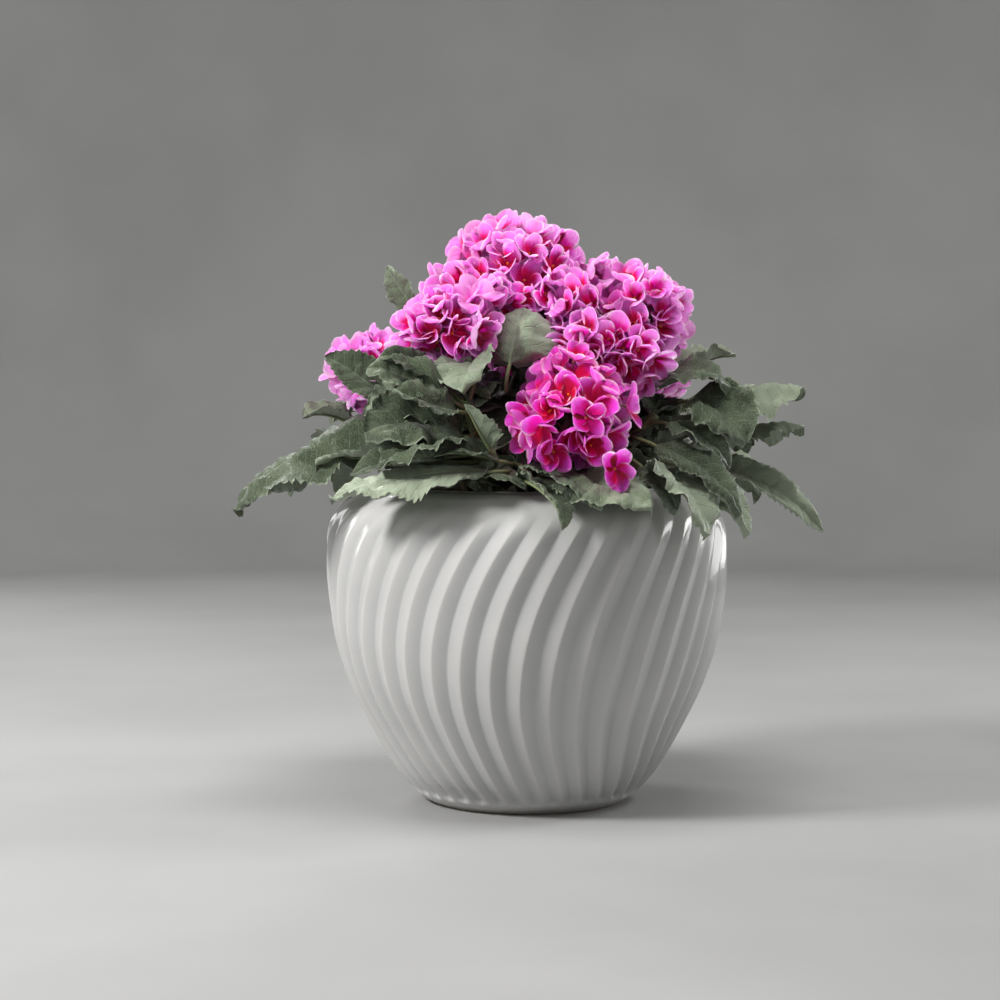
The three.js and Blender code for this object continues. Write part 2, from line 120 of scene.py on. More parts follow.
def rumple(points: Array, seed: int, wavelength: float, waves: int = 9) -> Array:
    """A smooth pseudo-random height, mostly from -1 to 1: sines in random directions, added and scaled.

    Args:
        points: (..., 3) places in mm.
        seed: fixes the directions and phases.
        wavelength: the longest wave in mm; the shortest is half of it.
        waves: how many sines are added.

    Returns:
        The height at each place.
    """
    rng = np.random.default_rng(seed)
    total = np.zeros(points.shape[:-1])
    for _ in range(waves):
        direction = unit(rng.normal(size=3)) * TURN / (wavelength * rng.uniform(0.5, 1.0))
        total += np.sin(points @ direction + rng.uniform(0, TURN))
    return total / (RUMPLE_SHARE * waves)


def turned(radius: Array, sides: int) -> tuple[Array, Array]:
    """The x and y of a lathe's points, (n, sides) each, from the (n,) radii of its section."""
    angle = np.arange(sides) * TURN / sides
    return radius[:, None] * np.cos(angle), radius[:, None] * np.sin(angle)


def rotated(vectors: Array, axes: Array, angles: Array) -> Array:
    """Each vector turned by its angle about the unit axis that is square to it."""
    return vectors * np.cos(angles)[:, None] + np.cross(axes, vectors) * np.sin(angles)[:, None]


def square_to(out: Array) -> tuple[Array, Array]:
    """Two unit directions for each outward one, square to it and to each other."""
    side = unit(np.cross(SLANT, out))
    return side, np.cross(out, side)


# ----- patches and meshes


@dataclass
class Patch:
    """A surface: points in mm and four-sided faces, with what the finishes read.

    flow holds three numbers at each point that follow the surface, the tone number at each point tells a leaf or a
    floret from its neighbours, at random and, on leaves and stalks, as painted shade and painted light, and skin
    the finish number of each face.
    """

    points: Array
    quads: Array
    flow: Array
    tone: Array
    skin: Array


def grid_quads(rows: int, cols: int, wrap: bool) -> Array:
    """Faces of a grid of points.

    Args:
        rows: how many rows of points.
        cols: how many points in a row.
        wrap: whether each row closes to a ring.

    Returns:
        (n, 4) the corners of each face.
    """
    r = np.arange(rows - 1)[:, None]
    c = np.arange(cols if wrap else cols - 1)[None, :]
    after = (c + 1) % cols
    corners = [r * cols + c, r * cols + after, (r + 1) * cols + after, (r + 1) * cols + c]
    return np.stack(np.broadcast_arrays(*corners), axis=-1).reshape(-1, 4)


def repeated(quads: Array, points: int, count: int) -> Array:
    """The faces of one shape, repeated for a count of copies that have so many points each."""
    return (quads[None] + points * np.arange(count)[:, None, None]).reshape(-1, 4)


def two_sided(rows: int, cols: int) -> tuple[Array, Array]:
    """Faces of a grid's upper side and then of its lower side, and their skins 0 and 1."""
    faces = grid_quads(rows, cols, False)
    return np.concatenate([faces, faces[:, ::-1] + rows * cols]), np.repeat([0, 1], len(faces))


def half_thickness(rows: int, cols: int, most: float) -> Array:
    """Half a thin body's thickness, most sqrt(1 - v^8) sqrt(1 - w^8), where v and w run from -1 to 1."""
    v, w = np.linspace(-1, 1, cols)[None, :], np.linspace(-1, 1, rows)[:, None]
    return most * np.sqrt(1 - v**8) * np.sqrt(1 - w**8)


def plain_patch(points: Array, quads: Array, skin: int = 0, tone: float = 0.0) -> Patch:
    """A patch of one finish with no flow."""
    points = points.reshape(-1, 3)
    return Patch(points, quads, np.zeros_like(points), np.full(len(points), tone), np.full(len(quads), skin))


def lens_patch(middle: Array, normal: Array, thickness: float, flow: Array, tone: float) -> Patch:
    """A closed thin body: the middle surface moved both ways along its normal, less and less to its margin.

    Args:
        middle: (rows, cols, 3) points of the middle surface.
        normal: (rows, cols, 3) unit normals on the side that the upper skin takes.
        thickness: the body's thickness in mm.
        flow: (rows, cols, 3) numbers that the finish reads.
        tone: the body's tone.

    Returns:
        The closed patch, with skin 0 above and 1 below.
    """
    rows, cols = middle.shape[:2]
    half = half_thickness(rows, cols, thickness / 2)[..., None] * normal
    points = np.concatenate([(middle + half).reshape(-1, 3), (middle - half).reshape(-1, 3)])
    quads, skin = two_sided(rows, cols)
    return Patch(points, quads, np.tile(flow.reshape(-1, 3), (2, 1)), np.full(len(points), tone), skin)


def tube_patch(path: Array, radii: Array, sides: int, skin: int, tone: float) -> Patch:
    """A round bar along a path, closed at both ends.

    Each ring is centre + r (cos a side + sin a over), where side and over are square to the path.

    Args:
        path: (n, 3) centre line.
        radii: (n,) radius at each point.
        sides: how many corners each ring has.
        skin: finish number.
        tone: a number from 0 to 1 that shifts the finish.

    Returns:
        The closed patch; its flow holds the turn, the length so far and the whole length.
    """
    path = np.vstack([path[:1], path, path[-1:]])
    radii = np.concatenate([[0.0], radii, [0.0]])
    tangent = unit(np.gradient(path, axis=0) + 1e-9)
    reference = np.eye(3)[int(np.argmin(np.abs(tangent.mean(axis=0))))]
    side = unit(np.cross(tangent, reference))
    over = np.cross(tangent, side)
    angle = np.arange(sides) * TURN / sides
    ring = np.cos(angle)[None, :, None] * side[:, None] + np.sin(angle)[None, :, None] * over[:, None]
    points = path[:, None] + radii[:, None, None] * ring
    length = np.concatenate([[0.0], np.cumsum(np.linalg.norm(np.diff(path, axis=0), axis=1))])
    patch = plain_patch(points, grid_quads(len(path), sides, True), skin, tone)
    flow = np.broadcast_arrays(angle[None, :] / TURN, length[:, None], length[-1])
    patch.flow = np.stack(flow, axis=-1).reshape(-1, 3)
    return patch


def weld(patch: Patch) -> tuple[Patch, Array]:
    """Joins points that coincide, turns faces with a repeated corner into triangles and drops the rest.

    Args:
        patch: the patch to clean.

    Returns:
        The clean patch, and each face's count of corners; a triangle's corners come first in its row.
    """
    key = np.round(patch.points, 3)
    _, first, inverse = np.unique(key, axis=0, return_index=True, return_inverse=True)
    faces = inverse.reshape(-1)[patch.quads]
    same = faces == np.roll(faces, -1, axis=1)
    crossed = (faces[:, 0] == faces[:, 2]) | (faces[:, 1] == faces[:, 3])
    keep = (same.sum(axis=1) <= 1) & ~crossed
    faces, same, skin = faces[keep], same[keep], patch.skin[keep]
    is_tri = same.any(axis=1)
    shift = np.where(is_tri, np.argmax(same, axis=1) + 1, 0)
    order = (np.arange(4)[None, :] + shift[:, None]) % 4
    faces = np.take_along_axis(faces, order, axis=1)
    clean = Patch(patch.points[first], faces, patch.flow[first], patch.tone[first], skin)
    return clean, np.where(is_tri, 3, 4)


def mesh_object(name: str, patches: list[Patch], materials: list[Material]) -> Object:
    """One smooth mesh object at the origin from patches in mm, creased where two finishes meet.

    Args:
        name: the object's name.
        patches: its surfaces.
        materials: the materials that the patches' skins number.

    Returns:
        The object, linked to the scene, with the point attributes "flow" and "tone".
    """
    welded = [weld(patch) for patch in patches]
    points, flow, tone, skins = (
        np.concatenate([getattr(patch, part) for patch, _ in welded]) for part in ("points", "flow", "tone", "skin")
    )
    starts = np.cumsum([0] + [len(patch.points) for patch, _ in welded])
    quads = np.concatenate([patch.quads + start for (patch, _), start in zip(welded, starts)])
    totals = np.concatenate([count for _, count in welded])
    loops = quads[np.arange(4)[None, :] < totals[:, None]]
    mesh = bpy.data.meshes.new(name)
    mesh.vertices.add(len(points))
    mesh.vertices.foreach_set("co", (points * MM).astype(np.float32).ravel())
    mesh.loops.add(len(loops))
    mesh.loops.foreach_set("vertex_index", loops.astype(np.int32))
    mesh.polygons.add(len(totals))
    mesh.polygons.foreach_set("loop_start", (np.cumsum(totals) - totals).astype(np.int32))
    mesh.polygons.foreach_set("material_index", skins.astype(np.int32))
    mesh.update(calc_edges=True)
    mesh.validate()
    mesh.shade_smooth()
    edge_of = np.empty(len(loops), np.int32)
    mesh.loops.foreach_get("edge_index", edge_of)
    least, most = np.full(len(mesh.edges), len(materials)), np.full(len(mesh.edges), -1)
    np.minimum.at(least, edge_of, np.repeat(skins, totals))
    np.maximum.at(most, edge_of, np.repeat(skins, totals))
    for label, kind, domain, key, values in (
        ("sharp_edge", "BOOLEAN", "EDGE", "value", least != most),
        ("flow", "FLOAT_VECTOR", "POINT", "vector", flow.astype(np.float32)),
        ("tone", "FLOAT", "POINT", "value", tone.astype(np.float32)),
    ):
        mesh.attributes.new(label, kind, domain).data.foreach_set(key, values.ravel())
    for material in materials:
        mesh.materials.append(material)
    made = bpy.data.objects.new(name, mesh)
    bpy.context.scene.collection.objects.link(made)
    return made


# ----- node trees


class Nodes:
    """A short way to write a material's node tree."""

    def __init__(self, name: str) -> None:
        """Makes a material with a Principled shader.

        Args:
            name: the material's name.
        """
        self.material = bpy.data.materials.new(name)
        self.material.use_nodes = True
        self.tree = self.material.node_tree
        self.shader = self.tree.nodes["Principled BSDF"]

    def add(self, kind: str, inputs: dict | None = None, **settings: object) -> bpy.types.Node:
        """Adds a node to the tree.

        Args:
            kind: the node's type, without ShaderNode.
            inputs: what its inputs are set to or linked from.
            settings: the node's own settings.

        Returns:
            The node.
        """
        node = self.tree.nodes.new("ShaderNode" + kind)
        for key, value in settings.items():
            setattr(node, key, value)
        for key, value in (inputs or {}).items():
            self.put(node.inputs[key], value)
        return node

    def put(self, socket: Socket, value: object) -> None:
        """Links an output socket to an input, or sets the input's value.

        Args:
            socket: the input.
            value: an output socket, a number or a colour.
        """
        if isinstance(value, Socket):
            self.tree.links.new(value, socket)
        elif isinstance(value, tuple) and len(value) == 3 and socket.type == "RGBA":
            socket.default_value = (*value, 1.0)
        else:
            socket.default_value = value

    def math(self, operation: str, a: object, b: object = 0.0) -> Socket:
        """The result of a Math node."""
        return self.add("Math", {0: a, 1: b, 2: 0.0}, operation=operation).outputs[0]

    def times(self, a: object, b: object) -> Socket:
        """One value times another."""
        return self.math("MULTIPLY", a, b)

    def plus(self, a: object, b: object) -> Socket:
        """The sum of two values."""
        return self.math("ADD", a, b)

    def minus(self, a: object, b: object) -> Socket:
        """One value less another."""
        return self.math("SUBTRACT", a, b)

    def ramp(self, value: object, low: float, high: float, start: float = 0.0, end: float = 1.0) -> Socket:
        """A smooth step of value from start at low to end at high."""
        inputs = {0: value, 1: low, 2: high, 3: start, 4: end}
        return self.add("MapRange", inputs, interpolation_type="SMOOTHSTEP").outputs[0]

    def mix(self, factor: object, a: object, b: object) -> Socket:
        """A blend of two colours."""
        return self.add("Mix", {0: factor, 6: a, 7: b}, data_type="RGBA").outputs[2]

    def place(self) -> Socket:
        """Object coordinates, in metres."""
        return self.add("TexCoord").outputs["Object"]

    def flow(self) -> tuple[Socket, Socket, Socket]:
        """The three numbers of the piece's own flow attribute."""
        flow = self.add("Attribute", attribute_name="flow").outputs["Vector"]
        return tuple(self.add("SeparateXYZ", {0: flow}).outputs)

    def tone(self) -> Socket:
        """The piece's own tone attribute."""
        return self.add("Attribute", attribute_name="tone").outputs["Fac"]

    def noise(self, scale: float, detail: float = 3.0, vector: object = None) -> Socket:
        """Cloud noise from 0 to 1 at a scale in 1/m."""
        inputs = {"Vector": vector or self.place(), "Scale": scale, "Detail": detail}
        return self.add("TexNoise", inputs).outputs[0]

    def bump(self, height: object, distance: float, strength: float) -> Socket:
        """A normal bumped by a height, with its full depth in metres."""
        return self.add("Bump", {"Height": height, "Distance": distance, "Strength": strength}).outputs[0]

    def shade(self, **sockets: object) -> Material:
        """Sets or links the shader's sockets.

        Args:
            sockets: a value for each socket's name, with its spaces as underscores.

        Returns:
            The finished material.
        """
        for key, value in sockets.items():
            self.put(self.shader.inputs[key.replace("_", " ")], value)
        return self.material


# ----- finishes


@dataclass(frozen=True)
class GlazeFinish:
    """Glossy white glaze, a little thinner on the crests and darker in the rib valleys, partly as pooled glaze and
    partly as painted shade, over a buff body that is bare at the foot.
    """

    thin: Triple = (0.52, 0.518, 0.509)
    pooled_and_shaded: Triple = (0.41, 0.413, 0.413)
    cloudy: Triple = (0.55, 0.545, 0.53)
    bisque: Triple = (0.52, 0.44, 0.36)
    grit: Triple = (0.30, 0.24, 0.19)
    inner: Triple = (0.55, 0.50, 0.42)
    bare_below: tuple[float, float] = (2.2, 3.4)

    def build(self) -> Material:
        """Mixes the glaze; its flow holds the depth below the crest, the height in mm and the inside share.

        Returns:
            The material.
        """
        n = Nodes("white glaze")
        depth, height, inside = n.flow()
        cloud = n.noise(26.0, 4.0)
        # darker towards the rib valleys, partly as pooled glaze and partly as painted shade
        body = n.mix(n.times(depth, 0.8), self.thin, self.pooled_and_shaded)
        body = n.mix(n.ramp(cloud, 0.35, 0.75, 0.0, 0.25), body, self.cloudy)
        edge = n.plus(height, n.times(cloud, 2.0))
        bare = n.ramp(edge, *self.bare_below, 1.0, 0.0)
        speck = n.ramp(n.noise(900.0, 2.0), 0.70, 0.78, 0.0, 0.5)
        clay = n.mix(speck, self.bisque, self.grit)
        colour = n.mix(bare, body, clay)
        colour = n.mix(n.times(inside, 0.25), colour, self.inner)
        rough = n.plus(n.times(bare, 0.65), n.ramp(n.noise(60.0), 0.3, 0.7, 0.13, 0.20))
        ripple = n.bump(n.noise(140.0, 2.0), 0.0004, 0.35)
        return n.shade(
            Base_Color=colour, Roughness=rough, Normal=ripple, Coat_Weight=0.2, Coat_Roughness=0.08, IOR=1.42
        )


@dataclass(frozen=True)
class SoilFinish:
    """Damp, dark potting mix with paler fibres."""

    dark: Triple = (0.028, 0.019, 0.013)
    fibre: Triple = (0.12, 0.075, 0.045)
    damp: Triple = (0.05, 0.032, 0.022)

    def build(self) -> Material:
        """Colours the soil by noise at several sizes.

        Returns:
            The material.
        """
        n = Nodes("potting mix")
        grain = n.noise(420.0, 6.0)
        colour = n.mix(n.ramp(grain, 0.42, 0.68), self.dark, self.fibre)
        colour = n.mix(n.ramp(n.noise(60.0, 3.0), 0.3, 0.7, 0.0, 0.5), colour, self.damp)
        return n.shade(Base_Color=colour, Roughness=0.93, Normal=n.bump(grain, 0.0012, 0.8))


@dataclass(frozen=True)
class BladeFinish:
    """One side of a leaf: veins and a fine net over a green that varies from leaf to leaf, with painted shade on leaves
    set dark and towards the base, painted light on leaves set pale, and painted highlights on the tips and margin.
    """

    name: str
    green: Triple
    deep: Triple
    vein: Triple
    relief: float

    def build(self) -> Material:
        """Colours a blade; its flow holds mm to the side, mm along, and the share of the way across.

        Returns:
            The material.
        """
        n = Nodes(self.name)
        side, along, across = n.flow()
        tone = n.tone()
        reach = n.math("ABSOLUTE", side)
        wobble = n.times(n.minus(n.noise(90.0, 2.0), 0.5), 3.0)
        phase = n.minus(n.plus(along, wobble), n.times(reach, Leaf.VEIN_SLOPE))
        off = n.math("ABSOLUTE", n.minus(n.math("FRACT", n.math("DIVIDE", phase, Leaf.VEIN_PITCH)), 0.5))
        vein = n.math("MAXIMUM", n.ramp(off, 0.44, 0.5), n.ramp(reach, 0.4, 1.4, 1.0, 0.0))
        place = n.add("CombineXYZ", {0: side, 1: along, 2: 0.0}).outputs[0]
        net = n.add("TexVoronoi", {"Vector": place, "Scale": 0.55}, feature="DISTANCE_TO_EDGE").outputs[0]
        cell = n.ramp(net, 0.0, 0.16)
        patchy = n.ramp(n.noise(34.0, 5.0), 0.32, 0.70)
        base = n.mix(n.times(patchy, 0.75), self.green, self.deep)
        # painted shade: darker by the tone, which holds a random share and the leaf's painted shade
        base = n.mix(n.times(tone, 0.6), base, self.deep)
        # painted light: a leaf of low tone, set pale where it catches the light, is mixed towards the vein colour
        base = n.mix(n.ramp(tone, 0.0, 0.22, 0.75, 0.0), base, self.vein)
        # painted shade: darker towards the blade's base, inside the plant
        base = n.mix(n.ramp(along, 4.0, 40.0, 0.55, 0.0), base, self.deep)
        # painted highlight: paler towards the tip, most on leaves set pale
        painted_tip_highlight = n.times(n.ramp(along, 26.0, 78.0, 0.0, 0.75), n.ramp(tone, 0.05, 0.5, 1.0, 0.15))
        base = n.mix(n.times(painted_tip_highlight, n.ramp(n.noise(46.0, 3.0), 0.36, 0.62)), base, self.vein)
        base = n.mix(n.times(n.minus(1.0, cell), 0.18), base, self.vein)
        # painted highlight: a pale band along the margin
        base = n.mix(n.ramp(across, 0.90, 1.0, 0.0, 0.55), base, self.vein)
        base = n.mix(n.times(vein, 0.24), base, self.vein)
        height = n.plus(n.times(cell, 0.35), n.times(vein, self.relief))
        rough = n.ramp(n.noise(120.0, 3.0), 0.3, 0.7, 0.28, 0.50)
        return n.shade(
            Base_Color=base, Roughness=rough, Normal=n.bump(height, 0.0006, 0.7), Sheen_Weight=0.1, Sheen_Roughness=0.5
        )


@dataclass(frozen=True)
class StalkFinish:
    """Stalk skin that goes from one colour at its foot to another at its head, darkened by its tone as painted shade.
    """

    name: str
    foot: Triple
    head: Triple
    woody: Triple = (0.16, 0.10, 0.07)
    painted_shade: Triple = (0.09, 0.11, 0.05)

    def build(self) -> Material:
        """Colours a stalk; its flow holds the turn, the mm along and the mm in all.

        Returns:
            The material.
        """
        n = Nodes(self.name)
        _, along, whole = n.flow()
        streak = n.noise(240.0, 4.0)
        colour = n.mix(n.ramp(n.math("DIVIDE", along, whole), 0.0, 1.0), self.foot, self.head)
        colour = n.mix(n.ramp(streak, 0.52, 0.7, 0.0, 0.5), colour, self.woody)
        # painted shade: darker by the tone; a petiole takes its leaf's tone, partly random and partly painted shade
        colour = n.mix(n.times(n.tone(), 0.3), colour, self.painted_shade)
        return n.shade(Base_Color=colour, Roughness=0.55, Normal=n.bump(streak, 0.0004, 0.5))


@dataclass(frozen=True)
class PetalFinish:
    """A petal side: red at its claw, then from deep magenta to pale pink, with a pale rim and fine streaks."""

    name: str
    claw: Triple
    deep: Triple
    pale: Triple
    rim: Triple
    blush: float

    def build(self) -> Material:
        """Colours a petal; its flow holds the share across and along, and the petal's own number.

        Returns:
            The material.
        """
        n = Nodes(self.name)
        across, along, number = n.flow()
        fan = n.add("CombineXYZ", {0: n.times(across, 7.0), 1: along, 2: number}).outputs[0]
        streak = n.minus(n.noise(1.4, 3.0, fan), 0.5)
        fade = n.plus(n.tone(), n.times(n.minus(along, 0.6), 0.7))
        fade = n.minus(fade, n.times(streak, 2.2))
        colour = n.mix(n.ramp(fade, 0.0, 1.0), self.deep, self.pale)
        spread = n.plus(along, n.times(streak, 0.4))
        spread = n.plus(spread, n.times(n.tone(), 0.2))
        colour = n.mix(n.ramp(spread, self.blush - 0.26, self.blush + 0.14), self.claw, colour)
        brim = n.math("MAXIMUM", n.ramp(n.math("ABSOLUTE", across), 0.74, 0.99), n.ramp(along, 0.86, 0.99))
        worn = n.ramp(n.noise(0.7, 1.0, fan), 0.40, 0.66, 0.05, 0.70)
        brim = n.times(brim, n.ramp(n.tone(), 0.0, 0.7, 0.35, 1.0))
        worn = n.times(worn, n.ramp(along, 0.1, 0.4))
        colour = n.mix(n.times(brim, worn), colour, self.rim)
        return n.shade(
            Base_Color=colour,
            Roughness=0.50,
            Normal=n.bump(streak, 0.0004, 0.6),
            Specular_IOR_Level=0.35,
            Sheen_Weight=0.08,
            Sheen_Roughness=0.4,
            Subsurface_Weight=0.75,
            Subsurface_Radius=(1.0, 0.35, 0.85),
            Subsurface_Scale=0.010,
        )


@dataclass(frozen=True)
class EyeFinish:
    """The yellow eye of a floret."""

    yellow: Triple = (0.85, 0.50, 0.05)
    orange: Triple = (0.80, 0.20, 0.03)

    def build(self) -> Material:
        """Colours the eye by a fine grain.

        Returns:
            The material.
        """
        n = Nodes("floret eye")
        grain = n.noise(1500.0, 2.0)
        colour = n.mix(n.ramp(grain, 0.4, 0.65), self.orange, self.yellow)
        return n.shade(Base_Color=colour, Roughness=0.6, Normal=n.bump(grain, 0.0005, 0.6))


# In the blade finishes the deep colour makes random patches and painted shade, and the vein colour makes the veins and
# net as well as painted light and painted highlights.
LEAFY = (
    BladeFinish("leaf upper side", (0.090, 0.120, 0.068), (0.018, 0.028, 0.013), (0.32, 0.37, 0.27), -1.0),
    BladeFinish("leaf underside", (0.180, 0.218, 0.148), (0.062, 0.082, 0.048), (0.34, 0.39, 0.29), 1.0),
    StalkFinish("petiole", foot=(0.15, 0.17, 0.08), head=(0.23, 0.28, 0.14)),
    StalkFinish("cane bark", foot=(0.14, 0.10, 0.06), head=(0.16, 0.20, 0.09)),
)
FLOWERY = (
    PetalFinish("petal inside", (0.74, 0.003, 0.050), (0.86, 0.024, 0.62), (0.99, 0.20, 0.86), (0.98, 0.48, 0.88), 0.7),
    PetalFinish("petal outside", (0.80, 0.012, 0.24), (0.90, 0.05, 0.66), (0.99, 0.30, 0.90), (0.98, 0.54, 0.90), 0.4),
    EyeFinish(),
    StalkFinish("pedicel", foot=(0.14, 0.17, 0.08), head=(0.28, 0.12, 0.14)),
)


# ----- pot and soil


@dataclass
class Pot:
    """The pot: a lathe wall with twisted V ribs that start over a smooth foot and die on the shoulder."""

    ribs: int = 40
    rib_depth: float = 3.6
    bevel: tuple[float, float] = (0.035, 0.965)
    fade_in: tuple[float, float] = (7.0, 13.0)
    fade_out: tuple[float, float] = (214.0, 240.0)
    turn_height: float = 92.0
    turn_angle: float = -2.6 * DEGREE
    twist_above: float = 9.3e-4 * DEGREE
    twist_below: float = 1.6e-3 * DEGREE
    wall: float = 8.0
    floor: float = 11.0
    throat: float = 118.0
    lip_at: tuple[float, float] = (115.0, 246.0)
    lip_radius: float = 4.0
    uneven: float = 0.35

    STEPS = (-0.035, 0.0, 0.035, 0.16, 0.28, 0.40, 0.465, 0.5, 0.535, 0.62, 0.74, 0.86)
    PROFILE = np.array(
        [(77, 0), (87, 6), (95, 14), (107.5, 30), (124.5, 60), (141.5, 95), (152.5, 130)]
        + [(157.5, 165), (159, 195), (157, 218), (149, 233), (134, 245), (117, 250)],
        float,
    )

    def inner_radius(self, heights: Array) -> Array:
        """Radius of the inner wall: that of the outer one less the ribs and the wall."""
        return np.interp(heights, self.PROFILE[:, 1], self.PROFILE[:, 0]) - self.wall - self.rib_depth

    def outline(self) -> tuple[Array, Array]:
        """The wall's section from the foot's centre, up the outside, over the lip and down to the floor.

        Returns:
            (n, 2) radius and height, and (n,) 1 inside the pot and 0 outside it.
        """
        foot = np.array([[0.0, 0.0], [40.0, 0.0], [70.0, 0.0]])
        outer = through(self.PROFILE[:-1], 10)
        outer[:, 0] = np.minimum(outer[:, 0], self.PROFILE[:, 0].max())
        neck = np.array([[127.0, 247.6], [121.5, 249.2]])
        angle = np.linspace(0.25, 1.0, 9)[:, None] * math.pi
        lip = np.array(self.lip_at) + self.lip_radius * np.hstack([np.cos(angle), np.sin(angle)])
        heights = np.array([236.0, 229.0, 195.0, 145.0, 90.0, 40.0, self.floor + 4])
        inner = np.column_stack([self.inner_radius(heights), heights])
        inner[0, 0] = self.throat
        base = np.array([[80.0, self.floor], [40.0, self.floor], [0.0, self.floor]])
        section = np.vstack([foot, outer, neck, lip, inner, base])
        inside = np.zeros(len(section))
        inside[-(len(lip) // 2 + len(inner) + len(base)) :] = 1.0
        return section, inside

    def build(self, glaze: Material) -> Object:
        """The pot's mesh.

        r = R(z) - depth(z) f, where f runs straight from 0 at a crest to 1 in the valley halfway to the
        next, and both are broken by a narrow bevel.

        Args:
            glaze: its finish.

        Returns:
            The pot.
        """
        section, inside = self.outline()
        radius, height = section[:, 0], section[:, 1]
        columns = self.ribs * len(self.STEPS)
        rise = height - self.turn_height
        twist = self.turn_angle + rise**2 * np.where(rise > 0, self.twist_above, self.twist_below)
        depth = self.rib_depth * smoothstep(height, *self.fade_in) * (1 - smoothstep(height, *self.fade_out))
        depth = depth * (1 - inside)
        phase = (np.arange(self.ribs)[:, None] + np.array(self.STEPS)[None, :]).ravel()
        drop = np.clip(np.abs((phase + 0.5) % 1.0 - 0.5) * 2.0, *self.bevel)
        angle = phase[None, :] * TURN / self.ribs + np.where(inside > 0, 0.0, twist)[:, None]
        reach = radius[:, None] - depth[:, None] * drop[None, :]
        z = np.broadcast_to(height[:, None], reach.shape)
        points = np.stack([np.sin(angle) * reach, -np.cos(angle) * reach, z], axis=-1)
        wobble = rumple(points, 5, 190.0)[..., None] * unit(points * np.array([1, 1, 0])) * self.uneven
        points = points + wobble * (z[..., None] > 8) * (radius[:, None, None] > 100)
        patch = plain_patch(points, grid_quads(len(section), columns, True))
        relief = drop[None, :] * (depth / self.rib_depth)[:, None]
        patch.flow = np.stack([relief, z, np.broadcast_to(inside[:, None], z.shape)], axis=-1).reshape(-1, 3)
        return mesh_object("ribbed_pot", [patch], [glaze])


@dataclass
class Soil:
    """The potting mix: a body that fills the pot, with a crumbly, gently domed top."""

    top: float = 229.0
    dome: float = 7.0
    dome_radius: float = 142.0
    settled: float = 2.6
    gap: float = 0.5
    wall_gap: float = 1.0
    columns: int = 144
    rings: int = 44
    crumbs: int = 420
    crumb_reach: float = 132.0

    RUMPLES = ((3, 34.0, 1.3), (4, 9.0, 0.8))

    def surface(self, x: Array, y: Array) -> Array:
        """Height of the soil: a dome (1 - (r/R)^2), rumpled at two sizes.

        Args:
            x: places to the side, in mm.
            y: places to the back, in mm.

        Returns:
            The height at each place, in mm.
        """
        place = np.stack([x, y, np.zeros_like(x)], axis=-1)
        height = self.top + self.dome * (1 - (x**2 + y**2) / self.dome_radius**2) - self.settled
        for seed, wavelength, high in self.RUMPLES:
            height = height + high * rumple(place, seed, wavelength)
        return height

    def body(self, pot: Pot) -> Patch:
        """The lathe body from its bottom's centre, up the wall and over the top to its centre.

        Args:
            pot: the pot that it fills.

        Returns:
            The body as one patch.
        """
        heights = np.array([pot.floor, 40.0, 90.0, 145.0, 195.0, self.top - 5])
        wall = pot.inner_radius(heights) - self.wall_gap - self.gap
        share = np.linspace(1.0, 0.0, self.rings) ** 0.85
        radius = np.concatenate([[0.0, 50.0], wall, wall[-1] * share])
        x, y = turned(radius, self.columns)
        z = self.surface(x, y)
        low = np.concatenate([[pot.floor + self.gap] * 2, heights + self.gap])
        z[: len(low)] = low[:, None]
        z[-1] = z[-1].mean()
        points = np.stack([x, y, z], axis=-1)
        return plain_patch(points, grid_quads(len(radius), self.columns, True))

    def crumb_patch(self) -> Patch:
        """Loose crumbs of bark on the top: blocks of six faces, each its own size and turn.

        Returns:
            All the crumbs as one patch.
        """
        rng = np.random.default_rng(21)
        radius = self.crumb_reach * np.sqrt(rng.uniform(0.002, 1, self.crumbs))
        angle = rng.uniform(0, TURN, self.crumbs)
        centre = np.stack([np.cos(angle) * radius, np.sin(angle) * radius, np.zeros(self.crumbs)], -1)
        centre[:, 2] = self.surface(centre[:, 0], centre[:, 1]) + 0.4
        corner = np.array([[x, y, z] for z in (-1, 1) for x, y in ((-1, -1), (1, -1), (1, 1), (-1, 1))], float)
        faces = np.array([[3, 2, 1, 0], [4, 5, 6, 7], [0, 1, 5, 4], [1, 2, 6, 5], [2, 3, 7, 6], [3, 0, 4, 7]])
        size = rng.uniform([1.2, 0.8, 0.5], [4.2, 2.4, 1.3], (self.crumbs, 3))
        shape = corner[None] * size[:, None] * rng.uniform(0.6, 1.1, (self.crumbs, 8, 1))
        turn = np.linalg.qr(rng.normal(size=(self.crumbs, 3, 3)) * np.array([1, 1, 0.35])[None, None])[0]
        turn *= np.sign(np.linalg.det(turn))[:, None, None]
        points = np.einsum("nij,nkj->nki", turn, shape) + centre[:, None]
        return plain_patch(points, repeated(faces, len(corner), self.crumbs))

    def build(self, pot: Pot, mix: Material) -> Object:
        """The soil with its crumbs, in the pot that it fills."""
        return mesh_object("potting_mix", [self.body(pot), self.crumb_patch()], [mix])


# ----- canes and leaves


class Skin(IntEnum):
    """Which finish a face of a leafy cane takes."""

    UPPER = 0
    LOWER = 1
    PETIOLE = 2
    BARK = 3


